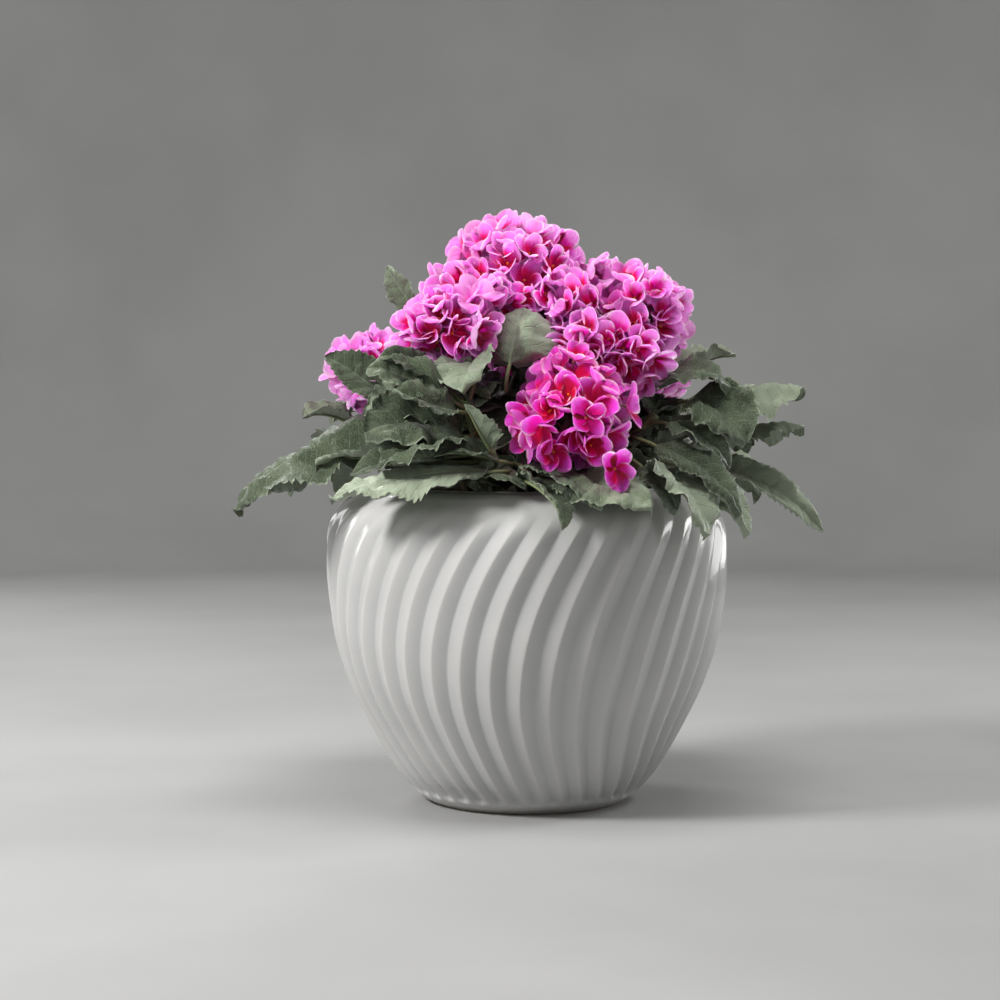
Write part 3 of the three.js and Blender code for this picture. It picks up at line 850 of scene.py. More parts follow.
@dataclass
class Leaf:
    """A leaf: its place up the cane, its blade from base to tip, and how it lies.

    at is the share of the cane's length where the petiole leaves it, roll, fold and curl are in degrees,
    shade is painted shade above 0, darkening a leaf that lies in shade, and painted light below 0, paling one
    that catches the light, and tooth_pitch is the mm from tooth to tooth.
    """

    at: float
    base: Triple
    tip: Triple
    width: float
    arch: float
    roll: float
    fold: float
    shade: float = 0.0
    curl: float = 0.0
    tooth_pitch: float = 5.2

    VEIN_PITCH = 9.5
    VEIN_SLOPE = 0.75
    TOOTH_DEPTH = 3.1
    TOOTH_SHARE = 0.28
    NARROWEST = 1.4
    PETIOLE_BEND = 0.45
    THICKNESS = 0.55
    FULLNESS = 0.54
    RISE = 0.52
    FALL = 0.72
    WIDEST = 0.419
    TOOTH = (0.0, 0.46, 0.9)
    TURNED = (-0.16, 0.10)
    CREASES = ((0.14, 40.0), (0.055, 15.0))
    WAVE = 0.05
    FRILL = 0.045
    SWELL = 1.5
    DROOP = 0.05
    MIDRIB = 2.0
    BELOW = 0.75
    COLUMNS = (0.0, 0.14, 0.3, 0.46, 0.62, 0.78, 0.91, 1.0)

    def corners(self) -> tuple[Array, Array, Array]:
        """Corners of the midrib's curve: base, middle and tip."""
        base, tip = np.array(self.base, float), np.array(self.tip, float)
        return base, (base + tip) / 2 + self.arch * UP, tip

    def blade_half_width(self, u: Array) -> Array:
        """Half width u^0.52 (1-u)^0.72, scaled so that its greatest value is just over half the width."""
        shape = np.maximum(u, 0) ** self.RISE * np.maximum(1 - u, 0) ** self.FALL
        return self.FULLNESS * self.width * shape / (self.WIDEST**self.RISE * (1 - self.WIDEST) ** self.FALL)

    def middle_surface(self, phase: float, rng: np.random.Generator) -> tuple[Array, Array, Array]:
        """The blade's middle surface.

        Each point is midrib(u) + side across + lift up. The edge has forward teeth, the halves fold up
        from the midrib, the margin waves and turns over, and between its side veins the blade swells.

        Args:
            phase: where the margin's waves start.
            rng: draws the leaf's own waves.

        Returns:
            Points and flow, both (rows, cols, 3), and the up direction of each row.
        """
        base, middle, tip = self.corners()
        length = float(np.linalg.norm(tip - base))
        teeth = max(4, round(length / self.tooth_pitch))
        step = np.concatenate([(np.arange(teeth)[:, None] + np.array(self.TOOTH)).ravel(), [teeth]])
        u = step / teeth
        bite = 1 - np.clip((step % 1.0) / self.TOOTH[-1], 0, 1)
        v = np.array([*(-c for c in self.COLUMNS[:0:-1]), *self.COLUMNS])
        along = unit(2 * (1 - u)[:, None] * (middle - base) + 2 * u[:, None] * (tip - middle))
        sideways = np.cross(tip - base, UP)
        across = unit(sideways - along * (along @ sideways)[:, None])
        turn = (self.roll + self.curl * u) * DEGREE
        across, up = rotated(across, along, turn), rotated(np.cross(across, along), along, turn)
        half = np.maximum(self.blade_half_width(u), np.where(u < 0.5, self.NARROWEST, 0.0))
        deep = np.minimum(self.TOOTH_DEPTH, self.TOOTH_SHARE * half) * bite
        side = v[None] * half[:, None] - np.sign(v)[None] * np.abs(v[None]) ** 9 * deep[:, None]
        share, reach, left = np.abs(v)[None], np.abs(side), v[None] < 0
        run = (u * length)[:, None] + np.zeros_like(side)
        cells = (run - self.VEIN_SLOPE * reach) / self.VEIN_PITCH
        quilt = (4 * (cells % 1.0) * (1 - cells % 1.0)) ** 0.6 * np.minimum(1, share / 0.14) * (1 - share**5)
        wave = self.WAVE * np.sin(3 * math.pi * u[:, None] + phase + 2.0 * left)
        frill = self.FRILL * np.sin(TURN * (u[:, None] * rng.uniform(3.0, 4.6) + rng.uniform(0, 1) + 0.37 * left))
        margin = np.where(left, rng.uniform(*self.TURNED), rng.uniform(*self.TURNED))
        margin = margin * np.maximum(0, share - 0.4) ** 2 / 0.36
        place, seed = np.stack([side, 0.5 * run, np.zeros_like(run)], -1), int(rng.integers(1e6))
        creases = (
            deep * (0.5 - np.abs(rumple(place, seed + number, wavelength, 7)))
            for number, (deep, wavelength) in enumerate(self.CREASES)
        )
        creased = sum(creases) * smoothstep(u, 0.0, 0.15)[:, None]
        lift = (
            (np.sqrt(reach**2 + self.MIDRIB**2) - self.MIDRIB) * math.sin(self.fold * DEGREE)
            + self.width * (wave + frill) * (reach / (self.width / 2)) ** 2
            + self.width * (margin + creased * np.minimum(1, reach / 8))
            + self.SWELL * quilt
            - self.DROOP * length * smoothstep(u, 0.70, 1.0)[:, None] ** 2
        )
        flat = side * math.cos(self.fold * DEGREE)
        spine = quadratic(base, middle, tip, u)
        points = spine[:, None] + flat[..., None] * across[:, None] + lift[..., None] * up[:, None]
        return points, np.stack([side, run, share + np.zeros_like(side)], axis=-1), up

    def patches(self, root: Array, phase: float, rng: np.random.Generator) -> list[Patch]:
        """The blade as a thin closed body, and its petiole running on as the midrib below.

        Args:
            root: where the petiole leaves the cane.
            phase: where the margin's waves start.
            rng: draws the leaf's own waves.

        Returns:
            The leaf's patches, the blade first.
        """
        points, flow, up = self.middle_surface(phase, rng)
        normal = unit(np.cross(np.gradient(points, axis=1), np.gradient(points, axis=0)))
        # the tone: a random share plus the leaf's shade, painted shade above 0 and painted light below it
        tone = float(np.clip(rng.uniform(0.0, 0.8) + self.shade, 0, 1))
        blade = lens_patch(points, normal, self.THICKNESS, flow, tone)
        base, middle, _ = self.corners()
        bend = base - unit(middle - base) * (np.linalg.norm(root - base) * self.PETIOLE_BEND)
        stalk = quadratic(root, bend, base, np.linspace(0, 1, 12))[:-1]
        spine = points[:, points.shape[1] // 2] - up * self.BELOW
        rows = np.linspace(0, int(len(spine) * 0.9), 16).astype(int)
        path = np.vstack([stalk, spine[rows]])
        radii = np.concatenate([np.linspace(2.1, 1.5, len(stalk)), np.linspace(1.45, 0.35, len(rows))])
        return [blade, tube_patch(path, radii, 7, Skin.PETIOLE, tone)]


class Part(IntEnum):
    """Which finish a face of a bloom head takes."""

    INSIDE = 0
    OUTSIDE = 1
    EYE = 2
    PEDICEL = 3


@dataclass
class Bloom:
    """A domed head: its centre, its half width and half height, the way it faces and how pale it is.

    Each lobe is a place and a radius, for a cluster of florets beside the dome, and a stray is the place of
    one floret that stands out. open_by is how many degrees wider than usual the florets open, crowd the mm
    from floret to floret, and seed fixes what differs from floret to floret.
    """

    centre: Triple
    half: tuple[float, float]
    faces: Triple
    pale: float = 0.6
    lobes: tuple[tuple[float, float, float, float], ...] = ()
    strays: tuple[Triple, ...] = ()
    open_by: float = 0.0
    crowd: float = 14.4
    seed: int = 0

    PETAL = 19.5
    PETAL_WIDTH = 0.48
    PETAL_THICKNESS = 0.4
    CLAW = 0.9
    STANDS = 17.5
    LOWEST = -0.74
    LAYERS = ((1.0, 0.0, 1.0), (0.5, 0.24, 0.90))
    UNEVEN = 0.06
    LUMP = 0.07
    FIVE_PETALLED = 0.22
    SCALES = (0.86, 1.10)
    TILT = 0.24
    LEAF_CLEARANCE = 7.0
    STRAY_SCALE = 0.92
    ROWS = (0.0, 0.15, 0.33, 0.53, 0.73, 0.90, 1.0)
    BREADTH = (0.28, 0.64, 0.92, 1.0, 0.93, 0.66, 0.24)
    COLUMNS = (-1.0, -0.62, 0.0, 0.62, 1.0)
    SINK = 0.35
    EYE = ((0.0, -0.6), (1.2, -0.2), (1.1, 1.3), (0.7, 2.4), (0.0, 2.8))
    EYE_SIDES = 6
    KNOTS = 12
    RAY_RADII = (2.0, 1.3)
    PEDICEL_RADII = (0.85, 0.75, 0.75, 1.1)

    def axis(self) -> Array:
        """The unit direction that the head faces."""
        return unit(np.array(self.faces, float))

    def size(self) -> Array:
        """The dome's half widths and half height."""
        return np.array([self.half[0], self.half[0], self.half[1]])

    def turn(self) -> Array:
        """The rotation that carries +Z to the head's axis the short way.

        It is I + K + K K / (1 + cos), where K v is the cross product of (+Z x axis) and v.

        Returns:
            (3, 3) the rotation.
        """
        axis = self.axis()
        cross, cosine = np.cross(UP, axis), float(UP @ axis)
        skew = np.array([[0, -cross[2], cross[1]], [cross[2], 0, -cross[0]], [-cross[1], cross[0], 0]])
        return np.eye(3) + skew + skew @ skew / (1 + cosine)

    def stalk_top(self) -> Array:
        """Where the cane ends inside the head."""
        return np.array(self.centre) - self.axis() * self.half[1] * self.SINK

    def depth_of(self, points: Array) -> Array:
        """How deep points lie: 0 at the head's centre and 1 on its surface."""
        return np.linalg.norm((points - np.array(self.centre)) @ self.turn() / self.size(), axis=-1)

    def ball(self, count: int, lowest: float) -> Array:
        """Unit directions spread by the golden angle, height by equal steps.

        Args:
            count: how many a whole ball has.
            lowest: the height, from -1 to 1, at which they end.

        Returns:
            (n, 3) the directions.
        """
        index = np.arange(count)
        height = 1 - (2 * index + 1) / count
        index, height = index[height > lowest], height[height > lowest]
        radius = np.sqrt(1 - height**2)
        return np.stack([np.cos(index * GOLDEN) * radius, np.sin(index * GOLDEN) * radius, height], -1)

    def seats(self) -> tuple[Array, Array, Array]:
        """Seats florets in an outer and an inner layer of the dome, and round the lobes.

        Returns:
            Their centres, the way that each faces, and its size.
        """
        rng = np.random.default_rng(self.seed)
        wide, tall = self.half
        full = 2 * wide * (wide + tall) / self.crowd**2
        layers = []
        outer = 1 - self.STANDS / ((wide + tall) / 2)
        for share, inward, scale in self.LAYERS:
            ball = self.ball(round(full * share), self.LOWEST)
            ball = unit(ball + rng.normal(0, self.UNEVEN, ball.shape))
            out = unit(unit(ball / self.size()) + rng.normal(0, self.TILT, ball.shape))
            lump = self.LUMP * rumple(ball, self.seed + int(100 * share), 2.2, 5)[:, None]
            depth = outer - inward + lump + rng.uniform(-0.10, 0.05, (len(ball), 1))
            layers.append((ball * self.size() * depth, out, scale * rng.uniform(*self.SCALES, len(ball))))
        turn = self.turn().T
        layers = [(seat @ turn + np.array(self.centre), out @ turn, scale) for seat, out, scale in layers]
        for *place, radius in self.lobes:
            spread = self.ball(max(1, round(4 * math.pi * (radius / self.crowd) ** 2)), -1.0) * radius
            away = spread + 0.5 * (np.array(place) - np.array(self.centre))
            ways = unit(unit(away) + rng.normal(0, self.TILT, spread.shape))
            layers.append((spread + np.array(place), ways, rng.uniform(*self.SCALES, len(spread))))
        seat, out, scale = (np.concatenate(part) for part in zip(*layers))
        return seat, out, scale

    def petal_patch(self, seat: Array, out: Array, scale: Array) -> Patch:
        """Four or five cupped petals on every floret, each a thin closed body.

        Along a petal the slope e grows evenly from e0 to e1, so the midline lies at
        r = L (sin e - sin e0) / (e1 - e0) and h = L (cos e0 - cos e) / (e1 - e0). Across it the petal is
        an arc of half angle c, b sin(tc) / c to the side and b (1 - cos(tc)) / c off the midline's
        plane, turned about the midline so that one edge lies over the neighbour's.

        Args:
            seat: (n, 3) centres of the florets.
            out: (n, 3) the way that each faces.
            scale: (n,) size of each.

        Returns:
            All the petals as one patch.
        """
        rng = np.random.default_rng(self.seed + 50)
        n = len(seat)
        number = np.where(rng.uniform(size=n) < self.FIVE_PETALLED, 5, 4)[:, None]
        angle = rng.uniform(0, TURN, (n, 1)) + np.arange(5)[None] * TURN / number
        angle = angle + rng.normal(0, 0.10, angle.shape)
        floret, petal = np.nonzero(np.arange(5)[None] < number)
        m = len(floret)

        def each(values: Array) -> Array:
            """Values of the petals, ready to meet rows and columns."""
            return values[:, None, None]

        low = each((rng.uniform(12, 38, n)[floret] + rng.normal(0, 6, m)) * DEGREE)
        high = each((rng.uniform(50, 98, n)[floret] - self.open_by + rng.normal(0, 13, m)) * DEGREE)
        twist = each(rng.normal(15, 8, m) * DEGREE)
        cup = each(rng.uniform(30, 60, m) * DEGREE)
        length = each(self.PETAL * scale[floret] * rng.uniform(0.90, 1.08, m))
        s = np.array(self.ROWS)[None, :, None]
        breadth = np.array(self.BREADTH)[None, :, None]
        t = np.array(self.COLUMNS)[None, None, :]
        slope = low + (high - low) * s
        reach = self.CLAW + length * (np.sin(slope) - np.sin(low)) / (high - low)
        height = length * (np.cos(low) - np.cos(slope)) / (high - low)
        half = length * self.PETAL_WIDTH * breadth
        lateral = half * np.sin(t * cup) / cup
        frill = 0.5 * np.sin(s * rng.uniform(5, 9, (m, 1, 1)) + rng.uniform(0, 6, (m, 1, 1)) + 2.4 * t) * t**2 * s
        lift = half * (1 - np.cos(t * cup)) / cup + frill
        side, over = square_to(out)
        turn = angle[floret, petal][:, None]
        radial = np.cos(turn) * side[floret] + np.sin(turn) * over[floret]
        about = np.cross(out[floret], radial)
        radial, about, outward = (v[:, None, None, :] for v in (radial, about, out[floret]))
        inward = -np.sin(slope)[..., None] * radial + np.cos(slope)[..., None] * outward
        cross = -np.cos(twist)[..., None] * about - np.sin(twist)[..., None] * inward
        above = -np.sin(twist)[..., None] * about + np.cos(twist)[..., None] * inward
        points = (
            seat[floret][:, None, None, :]
            + reach[..., None] * radial
            + height[..., None] * outward
            + lateral[..., None] * cross
            + lift[..., None] * above
        )
        normal = unit(np.cross(np.gradient(points, axis=2), np.gradient(points, axis=1)))
        rows, cols = len(self.ROWS), len(self.COLUMNS)
        offset = half_thickness(rows, cols, self.PETAL_THICKNESS / 2)[None, ..., None] * normal
        both = np.stack([points + offset, points - offset], axis=1)
        quads, skin = two_sided(rows, cols)
        flow = np.stack(np.broadcast_arrays(t, s, rng.uniform(0, 60, (m, 1, 1))), axis=-1)
        flow = np.stack([flow, flow], axis=1).reshape(-1, 3)
        tone = np.repeat((self.pale + rng.uniform(-0.25, 0.25, n))[floret], 2 * rows * cols)
        quads = repeated(quads, 2 * rows * cols, m)
        return Patch(both.reshape(-1, 3), quads, flow, tone, np.tile(skin, m))

    def eye_patch(self, seat: Array, out: Array) -> Patch:
        """A small domed eye in every floret: a lathe of six corners.

        Args:
            seat: (n, 3) centres of the florets.
            out: (n, 3) the way that each faces.

        Returns:
            All the eyes as one patch.
        """
        sides = self.EYE_SIDES
        side, over = square_to(out)
        section = np.array(self.EYE)
        x, y = (part.ravel()[None, :, None] for part in turned(section[:, 0], sides))
        z = np.repeat(section[:, 1], sides)[None, :, None]
        points = seat[:, None] + x * side[:, None] + y * over[:, None] + z * out[:, None]
        quads = repeated(grid_quads(len(section), sides, True), len(section) * sides, len(seat))
        return plain_patch(points, quads, Part.EYE)

    def ray_patches(self, seat: Array, out: Array) -> list[Patch]:
        """Rays from the stalk's top, and from them a thin pedicel to every floret.

        Args:
            seat: (n, 3) centres of the florets.
            out: (n, 3) the way that each faces.

        Returns:
            A patch for each ray and each pedicel.
        """
        top = self.stalk_top()
        knots = (self.ball(self.KNOTS, -0.7) * self.size() * 0.42) @ self.turn().T + np.array(self.centre)
        radii = np.linspace(*self.RAY_RADII, 6)
        t = np.linspace(0, 1, len(radii))
        patches = []
        for knot in knots:
            path = quadratic(top, top + self.axis() * self.half[1] * 0.2 + (knot - top) * 0.3, knot, t)
            patches.append(tube_patch(path, radii, 6, Part.PEDICEL, 0.3))
        nearest = np.argmin(np.linalg.norm(seat[:, None] - knots[None], axis=-1), axis=1)
        radii = np.array(self.PEDICEL_RADII)
        t = np.linspace(0, 1, len(radii))
        for place, way, knot in zip(seat, out, knots[nearest]):
            path = quadratic(knot, place - way * 9.0, place - way * 0.2, t)
            patches.append(tube_patch(path, radii, 5, Part.PEDICEL, 0.6))
        return patches

    def build(self, name: str, rivals: list[Bloom], blades: Array, finishes: list[Material]) -> Object:
        """The head's mesh, without florets that would sit inside a neighbouring head or on a leaf.

        Args:
            name: the object's name.
            rivals: the other heads.
            blades: (m, 3) points spread over all the leaves.
            finishes: the four finishes that Part numbers.

        Returns:
            The head.
        """
        seat, out, scale = self.seats()
        clear = np.ones(len(seat), bool)
        for rival in rivals:
            clear &= rival.depth_of(seat) > np.minimum(0.75, self.depth_of(seat) * 1.02)
        face = (seat + out * 5.0)[:, None]
        clear &= np.linalg.norm(face - blades[None], axis=-1).min(axis=1) > self.LEAF_CLEARANCE
        seat, out, scale = seat[clear], out[clear], scale[clear]
        for stray in self.strays:
            seat = np.vstack([seat, stray])
            out = np.vstack([out, unit(unit(seat[-1] - np.array(self.centre)) + 1.4 * self.axis())])
            scale = np.append(scale, self.STRAY_SCALE)
        patches = [self.petal_patch(seat, out, scale), self.eye_patch(seat, out), *self.ray_patches(seat, out)]
        LOG.info("%s: %d florets", name, len(seat))
        return mesh_object(name, patches, finishes)


@dataclass
class Cane:
    """A woody cane: where it stands, rows of its leaves' fields in a Leaf's order, and what its top carries."""

    foot: tuple[float, float]
    leaves: list[tuple]
    bloom: Bloom | None = None
    top: Triple | None = None

    GROUND = 236.0
    BURIED = 34.0
    RADII = (4.2, 3.0)
    INNER = 30
    INNER_SPANS = ((-22, 22), (10, 26), (34, 48), (2, 12))
    INNER_REACH = 128
    RIM_REACH = 98
    OVER_RIM = 262
    OVER_SOIL = 244

    def curve(self, t: Array) -> Array:
        """Points on the cane above the soil: straight up at first, then out to its top.

        Args:
            t: places along the curve, from 0 at the soil to 1 at its top.

        Returns:
            (n, 3) the points.
        """
        foot = np.array([*self.foot, self.GROUND])
        top = self.bloom.stalk_top() if self.bloom else np.array(self.top, float)
        rise = top[2] - foot[2]
        low = foot + UP * rise * 0.4
        high = foot + (top - foot) * 0.7 + UP * rise * 0.06
        return cubic(foot, low, high, top, t)

    def inner_leaves(self, seed: int, heads: list[Bloom]) -> list[Leaf]:
        """Small leaves round the cane, painted dark as shade, each turned on by the golden angle, that fill the plant's
        middle.

        Args:
            seed: fixes their places.
            heads: the blooms that they keep out of.

        Returns:
            The leaves that stay over the pot and clear of the blooms.
        """
        rng = np.random.default_rng(seed)
        made = []
        for index, at in enumerate(np.linspace(0.10, 0.86, self.INNER)):
            root = self.curve(np.array([at]))[0]
            turn = index * GOLDEN + rng.uniform(0, 1)
            way = np.array([math.cos(turn), math.sin(turn), 0.0])
            base = root + way * rng.uniform(10, 18) + UP * rng.uniform(2, 12)
            tip = base + way * rng.uniform(38, 62) + UP * rng.uniform(-16, 14)
            line = base + (tip - base) * np.linspace(0, 1, 5)[:, None]
            reach = np.hypot(line[:, 0], line[:, 1])
            lowest = np.where(reach > self.RIM_REACH, self.OVER_RIM, self.OVER_SOIL)
            inside = (reach < self.INNER_REACH).all() and (line[:, 2] > lowest).all()
            if inside and all((head.depth_of(line) > 0.98).all() for head in heads):
                roll, fold, width, arch = (rng.uniform(*span) for span in self.INNER_SPANS)
                # painted shade: each inner leaf is set 0.8 darker, as it lies inside the plant
                made.append(Leaf(at, tuple(base), tuple(tip), width, arch, roll, fold, 0.8, tooth_pitch=8.5))
        return made

    def build(
        self, name: str, seed: int, heads: list[Bloom], finishes: list[Material]
    ) -> tuple[Object, Array]:
        """The cane with its leaves.

        Args:
            name: the object's name.
            seed: fixes what differs from leaf to leaf.
            heads: all the blooms.
            finishes: the four finishes that Skin numbers.

        Returns:
            The object, and points spread over its blades.
        """
        t = np.linspace(0, 1, 26)
        path = np.vstack([[[*self.foot, self.GROUND - self.BURIED]], self.curve(t)])
        radii = np.concatenate([self.RADII[:1], np.linspace(*self.RADII, len(t))])
        grown = [Leaf(*row) for row in self.leaves] + self.inner_leaves(seed + 40, heads)
        for leaf in grown:
            radii[1:] += 0.55 * np.exp(-(((t - leaf.at) / 0.03) ** 2))
        patches = [tube_patch(path, radii, 10, Skin.BARK, 0.2)]
        blades = []
        rng = np.random.default_rng(seed)
        for index, leaf in enumerate(grown):
            root = self.curve(np.array([leaf.at]))[0]
            patches += leaf.patches(root, index * 1.9, rng)
            blades.append(patches[-2].points[: len(patches[-2].points) // 2 : 3])
        LOG.info("%s: %d leaves", name, len(grown))
        return mesh_object(name, patches, finishes), np.concatenate(blades)


# fmt: off
# A row's eighth number, where given, is the leaf's shade: painted shade above 0 for a leaf lying in shade, painted
# light below 0 for one that catches the light.
CANES: dict[str, Cane] = {
    "crown": Cane(
        (-4, 6),
        [
            (0.6, (-14, -94, 346), (-4, -70, 389), 60, 4, -8, -14, -0.5),
            (0.5, (-12, -48, 318), (-10, -82, 270), 62, 10, 0, 12),
            (0.45, (14, -30, 316), (34, -66, 348), 56, 0, 0, 20),
            (0.45, (-18, 40, 322), (-24, 76, 322), 50, 10, 0, 20),
        ],
        Bloom(
            (-10, -2, 413), (62, 53), (0, -0.35, 1), 0.75,
            lobes=((44, -16, 400, 20), (-52, -26, 396, 18), (-26, -48, 388, 14), (12, -50, 388, 16)),
        ),
    ),
    "left_front": Cane(
        (-26, -20),
        [(0.5, (-58, -46, 312), (-98, -60, 322), 44, 6, -20, 20)],
        Bloom((-64, -62, 369), (43, 41), (-0.4, -0.6, 1), 0.75, lobes=((-34, -64, 384, 15), (-40, -84, 366, 10))),
    ),
    "far_left": Cane(
        (-46, 2),
        [
            (0.45, (-116, -52, 311), (-230, -64, 238), 82, 8, -14, -34, 1.0),
            (0.3, (-78, -66, 268), (-162, -78, 272), 46, 8, -6, 20),
            (0.55, (-102, -58, 314), (-156, -52, 352), 36, 4, -60, 24),
            (0.5, (-138, 22, 296), (-178, 2, 304), 34, 10, -10, 24),
            (0.4, (-118, 44, 280), (-196, 58, 240), 66, 24, 0, 20),
        ],
        Bloom((-118, -12, 338), (43, 42), (-0.8, -0.3, 1), 1.15),
    ),
    "front_left": Cane(
        (-30, -54),
        [
            (0.7, (-50, -106, 292), (-122, -124, 296), 66, 12, -34, 18, 0.9),
            (0.5, (-48, -116, 288), (-112, -140, 268), 62, 12, -24, 22, 0.8),
            (0.3, (-30, -138, 266), (-148, -136, 250), 58, 8, -24, -16, -0.8),
            (0.4, (-62, -102, 272), (-134, -106, 264), 44, 6, -34, 20, 0.5),
            (0.35, (-56, -110, 264), (-2, -143, 258), 34, 5, 10, 16, 0.6),
            (0.45, (-22, -126, 274), (-70, -138, 279), 34, 6, -20, 24),
            (0.9, (-58, -104, 318), (-120, -108, 344), 44, 6, -46, 24),
            (0.85, (-54, -114, 310), (-100, -130, 326), 48, -4, -44, 24, 0.4),
            (0.6, (-28, -126, 282), (-46, -134, 316), 34, -4, 0, 24),
            (0.97, (-40, -94, 346), (-50, -118, 324), 58, 8, 20, 20),
            (0.95, (-74, -94, 336), (-112, -104, 350), 36, 6, -40, 24),
            (0.8, (-66, -86, 304), (-124, -98, 308), 50, 8, -40, 20),
        ],
        top=(-46, -100, 316),
    ),
    "right": Cane(
        (34, -8),
        [
            (0.66, (92, -50, 322), (156, -64, 330), 54, 18, 14, 22, -0.3),
            (0.6, (112, 20, 334), (168, 24, 354), 48, 6, 10, 20),
            (0.55, (90, -26, 322), (98, -42, 276), 54, 6, 0, 12),
        ],
        Bloom(
            (83, -26, 376), (52, 52), (0.4, -0.25, 1), 0.80,
            lobes=((36, -58, 386, 16), (40, -82, 362, 11), (60, -72, 354, 15), (82, -70, 348, 14)),
        ),
    ),
    "front": Cane(
        (14, -44),
        [
            (0.4, (22, -124, 258), (88, -174, 244), 62, 8, 22, 8),
            (0.3, (-5, -130, 260), (28, -184, 230), 40, 12, -24, 30),
            (0.3, (-4, -120, 270), (54, -174, 245), 34, 8, 4, 14),
            (0.35, (50, -98, 257), (78, -142, 250), 48, 6, 0, 6),
        ],
        Bloom(
            (35, -108, 308), (50, 53), (0.15, -1, 0.1), -0.05,
            lobes=((27, -116, 344, 8), (40, -142, 306, 12), (8, -134, 300, 12)),
            strays=((62, -157, 269), (18, -144, 281), (45, -147, 286)),
            open_by=12,
            crowd=18.5,
        ),
    ),
    "right_front": Cane(
        (46, -34),
        [
            (0.5, (94, -110, 264), (134, -150, 222), 66, 14, -8, 18, -0.5),
            (0.7, (96, -96, 284), (160, -126, 236), 44, 12, 12, 24),
            (0.85, (106, -74, 300), (154, -92, 268), 46, 10, 16, 22),
            (0.4, (112, -88, 256), (168, -108, 220), 42, 14, 10, 24, -0.6),
            (0.6, (86, -102, 268), (110, -138, 238), 30, 8, 10, 24),
        ],
        top=(98, -66, 306),
    ),
    "right_side": Cane(
        (48, -6),
        [
            (0.95, (150, -12, 326), (220, -10, 327), 78, 4, 4, -46, -0.9),
            (0.7, (150, 2, 292), (221, 4, 298), 48, 4, 6, -36, -1.0),
            (0.5, (142, 6, 262), (238, 2, 213), 36, 24, 30, 26, -0.8, 40),
            (0.9, (128, -54, 316), (166, -84, 286), 60, 12, 20, 16, -0.4),
            (0.6, (98, -58, 276), (148, -74, 300), 40, 6, 0, 18, 0.6),
        ],
        top=(128, -16, 316),
    ),
    "right_back": Cane(
        (40, 30),
        [
            (0.3, (120, 58, 270), (198, 86, 238), 70, 24, 0, 20),
            (0.5, (140, 90, 290), (188, 132, 270), 66, 20, 0, 20),
            (0.2, (80, 104, 262), (130, 168, 226), 68, 24, 0, 22),
        ],
        Bloom((90, 64, 338), (50, 47), (0.6, 0.5, 1)),
    ),
    "left_back": Cane(
        (-34, 32),
        [
            (0.8, (-86, 12, 384), (-113, 28, 424), 26, 0, -100, 24),
            (0.3, (-96, 84, 268), (-160, 132, 234), 70, 26, 0, 20),
            (0.5, (-104, 96, 304), (-164, 96, 298), 62, 16, 0, 20),
            (0.4, (-52, 122, 284), (-84, 186, 256), 66, 20, 0, 22),
        ],
        Bloom((-60, 88, 372), (51, 47), (-0.4, 0.5, 1)),
    ),
    "back": Cane(
        (4, 46),
        [
            (0.25, (0, 128, 266), (-8, 204, 232), 70, 26, 0, 20),
            (0.4, (54, 138, 280), (78, 196, 262), 64, 20, 0, 20),
        ],
        Bloom((16, 122, 338), (51, 47), (0.1, 0.7, 1)),
    ),
}
# fmt: on


# ----- the studio


class Softbox(Enum):
    """The studio's lamps: place, aim and size in metres, power in watts, colour, and whether gloss shows it."""

    KEY = ((-1.66, -0.74, 1.45), (0.0, 0.0, 0.25), (0.50, 0.50), 57.0, (1.0, 0.99, 0.98), False)
    TOP = ((0.10, -0.45, 2.30), (0.0, 0.0, 0.30), (0.90, 0.90), 34.0, (1.0, 1.0, 1.0), False)
    RIGHT = ((1.84, 0.84, 0.52), (0.0, 0.0, 0.22), (1.30, 0.60), 14.0, (1.0, 1.0, 0.99), True)
    HIGH_RIGHT = ((1.40, 0.10, 1.70), (0.10, 0.0, 0.30), (0.40, 0.40), 10.0, (1.0, 1.0, 1.0), False)
    LEFT = ((-0.96, 1.42, 1.65), (0.0, 0.0, 0.25), (0.70, 0.60), 13.0, (1.0, 1.0, 0.99), True)
    FRONT = ((-0.75, -1.75, 1.05), (0.0, 0.0, 0.34), (1.10, 1.10), 4.5, (1.0, 1.0, 1.0), False)
    SIDE = ((-1.30, 1.50, 0.60), (0.0, 0.0, 0.22), (0.80, 0.70), 4.0, (1.0, 1.0, 0.99), True)


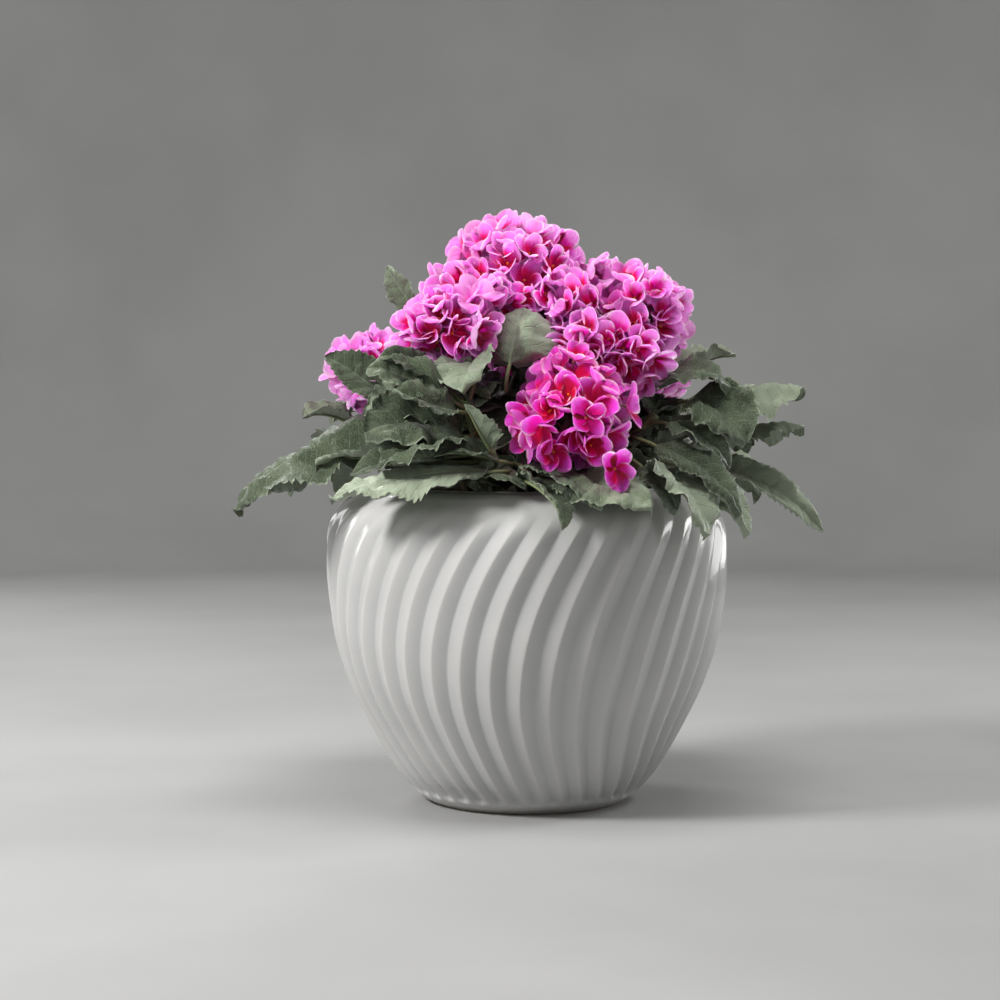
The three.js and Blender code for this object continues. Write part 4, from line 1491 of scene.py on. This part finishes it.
@dataclass
class Studio:
    """A pale swept floor, soft lamps, and a camera a little above the plant."""

    camera_mm: Triple = (-21.2, -1873.05, 340.39)
    pitch: float = 3.1425
    lens: float = 85.0
    sensor: float = 36.0
    clip: tuple[float, float] = (0.05, 30.0)
    world: float = 0.03

    def floor(self) -> Object:
        """A round floor that sweeps up into a wall: a lathe of a flat, a quarter circle and an upright.

        Returns:
            The floor.
        """
        radius, bend, high, sides = 2200.0, 700.0, 3200.0, 96
        angle = np.linspace(0.0, 1.0, 17) * math.pi / 2
        sweep = np.column_stack([radius + bend * np.sin(angle), bend * (1 - np.cos(angle))])
        section = np.vstack([[[0.0, 0.0], [700.0, 0.0], [1500.0, 0.0]], sweep, [[radius + bend, high]]])
        x, y = turned(section[:, 0], sides)
        points = np.stack([x, y, np.broadcast_to(section[:, 1:], x.shape)], axis=-1)
        n = Nodes("pale floor")
        colour = n.mix(n.ramp(n.noise(3.0), 0.3, 0.7), (0.31, 0.31, 0.307), (0.34, 0.34, 0.337))
        paint = n.shade(Base_Color=colour, Roughness=0.7)
        faces = grid_quads(len(section), sides, True)[:, ::-1]
        return mesh_object("floor", [plain_patch(points, faces)], [paint])

    def lamp(self, box: Softbox) -> None:
        """Adds one softbox, aimed at its target.

        Args:
            box: which one.
        """
        place, aim, size, power, colour, shown = box.value
        light = bpy.data.lights.new(box.name.replace("_", " ").title(), "AREA")
        light.shape, light.size, light.size_y = "RECTANGLE", *size
        light.energy, light.color = power, colour
        made = bpy.data.objects.new(light.name, light)
        made.location = place
        made.visible_glossy, made.visible_camera = shown, False
        way = np.array(aim) - np.array(place)
        made.rotation_euler = (math.atan2(math.hypot(way[0], way[1]), -way[2]), 0.0, math.atan2(-way[0], way[1]))
        bpy.context.scene.collection.objects.link(made)

    def build(self) -> None:
        """Makes the floor, lamps, world and camera."""
        self.floor()
        for box in Softbox:
            self.lamp(box)
        world = bpy.data.worlds.new("Studio")
        world.use_nodes = True
        colour, strength = world.node_tree.nodes["Background"].inputs[:2]
        colour.default_value, strength.default_value = (1.0, 1.0, 1.0, 1.0), self.world
        bpy.context.scene.world = world
        bpy.context.scene.view_settings.view_transform = "Standard"
        data = bpy.data.cameras.new("Camera")
        data.lens, data.sensor_width = self.lens, self.sensor
        data.clip_start, data.clip_end = self.clip
        camera = bpy.data.objects.new("Camera", data)
        camera.location = [c * MM for c in self.camera_mm]
        camera.rotation_euler = ((90 - self.pitch) * DEGREE, 0.0, 0.0)
        bpy.context.scene.collection.objects.link(camera)
        bpy.context.scene.camera = camera


# ----- putting it together


def dress(piece: Object, node: str) -> None:
    """Makes a piece ride on the frame and stand for one of its nodes.

    Args:
        piece: the finished object.
        node: the frame's node that it replaces.
    """
    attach(piece, "root")
    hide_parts(node)


def corners(box: tuple) -> list[list[float]]:
    """The two corners of a box as plain lists."""
    return [[float(c) for c in corner] for corner in box]


def main() -> None:
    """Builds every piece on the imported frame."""
    logging.basicConfig(level=logging.INFO, format="%(name)s: %(message)s")
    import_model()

    pot = Pot()
    dress(pot.build(GlazeFinish().build()), "pot")
    dress(Soil().build(pot, SoilFinish().build()), "soil")
    LOG.info("pot and soil")

    leafy = [finish.build() for finish in LEAFY]
    heads = {name: cane.bloom for name, cane in CANES.items() if cane.bloom}
    blades = []
    for seed, (name, cane) in enumerate(CANES.items()):
        piece, points = cane.build(f"foliage_{name}", 100 + seed, list(heads.values()), leafy)
        dress(piece, f"leafy_cane_{name}")
        blades.append(points)

    flowery = [finish.build() for finish in FLOWERY]
    for seed, (name, bloom) in enumerate(heads.items()):
        bloom.seed = 7 * seed + 3
        rivals = [other for other in heads.values() if other is not bloom]
        piece = bloom.build(f"bloom_head_{name}", rivals, np.concatenate(blades), flowery)
        dress(piece, f"bloom_{name}")

    Studio().build()
    bpy.context.view_layer.update()


if __name__ == "__main__":
    main()
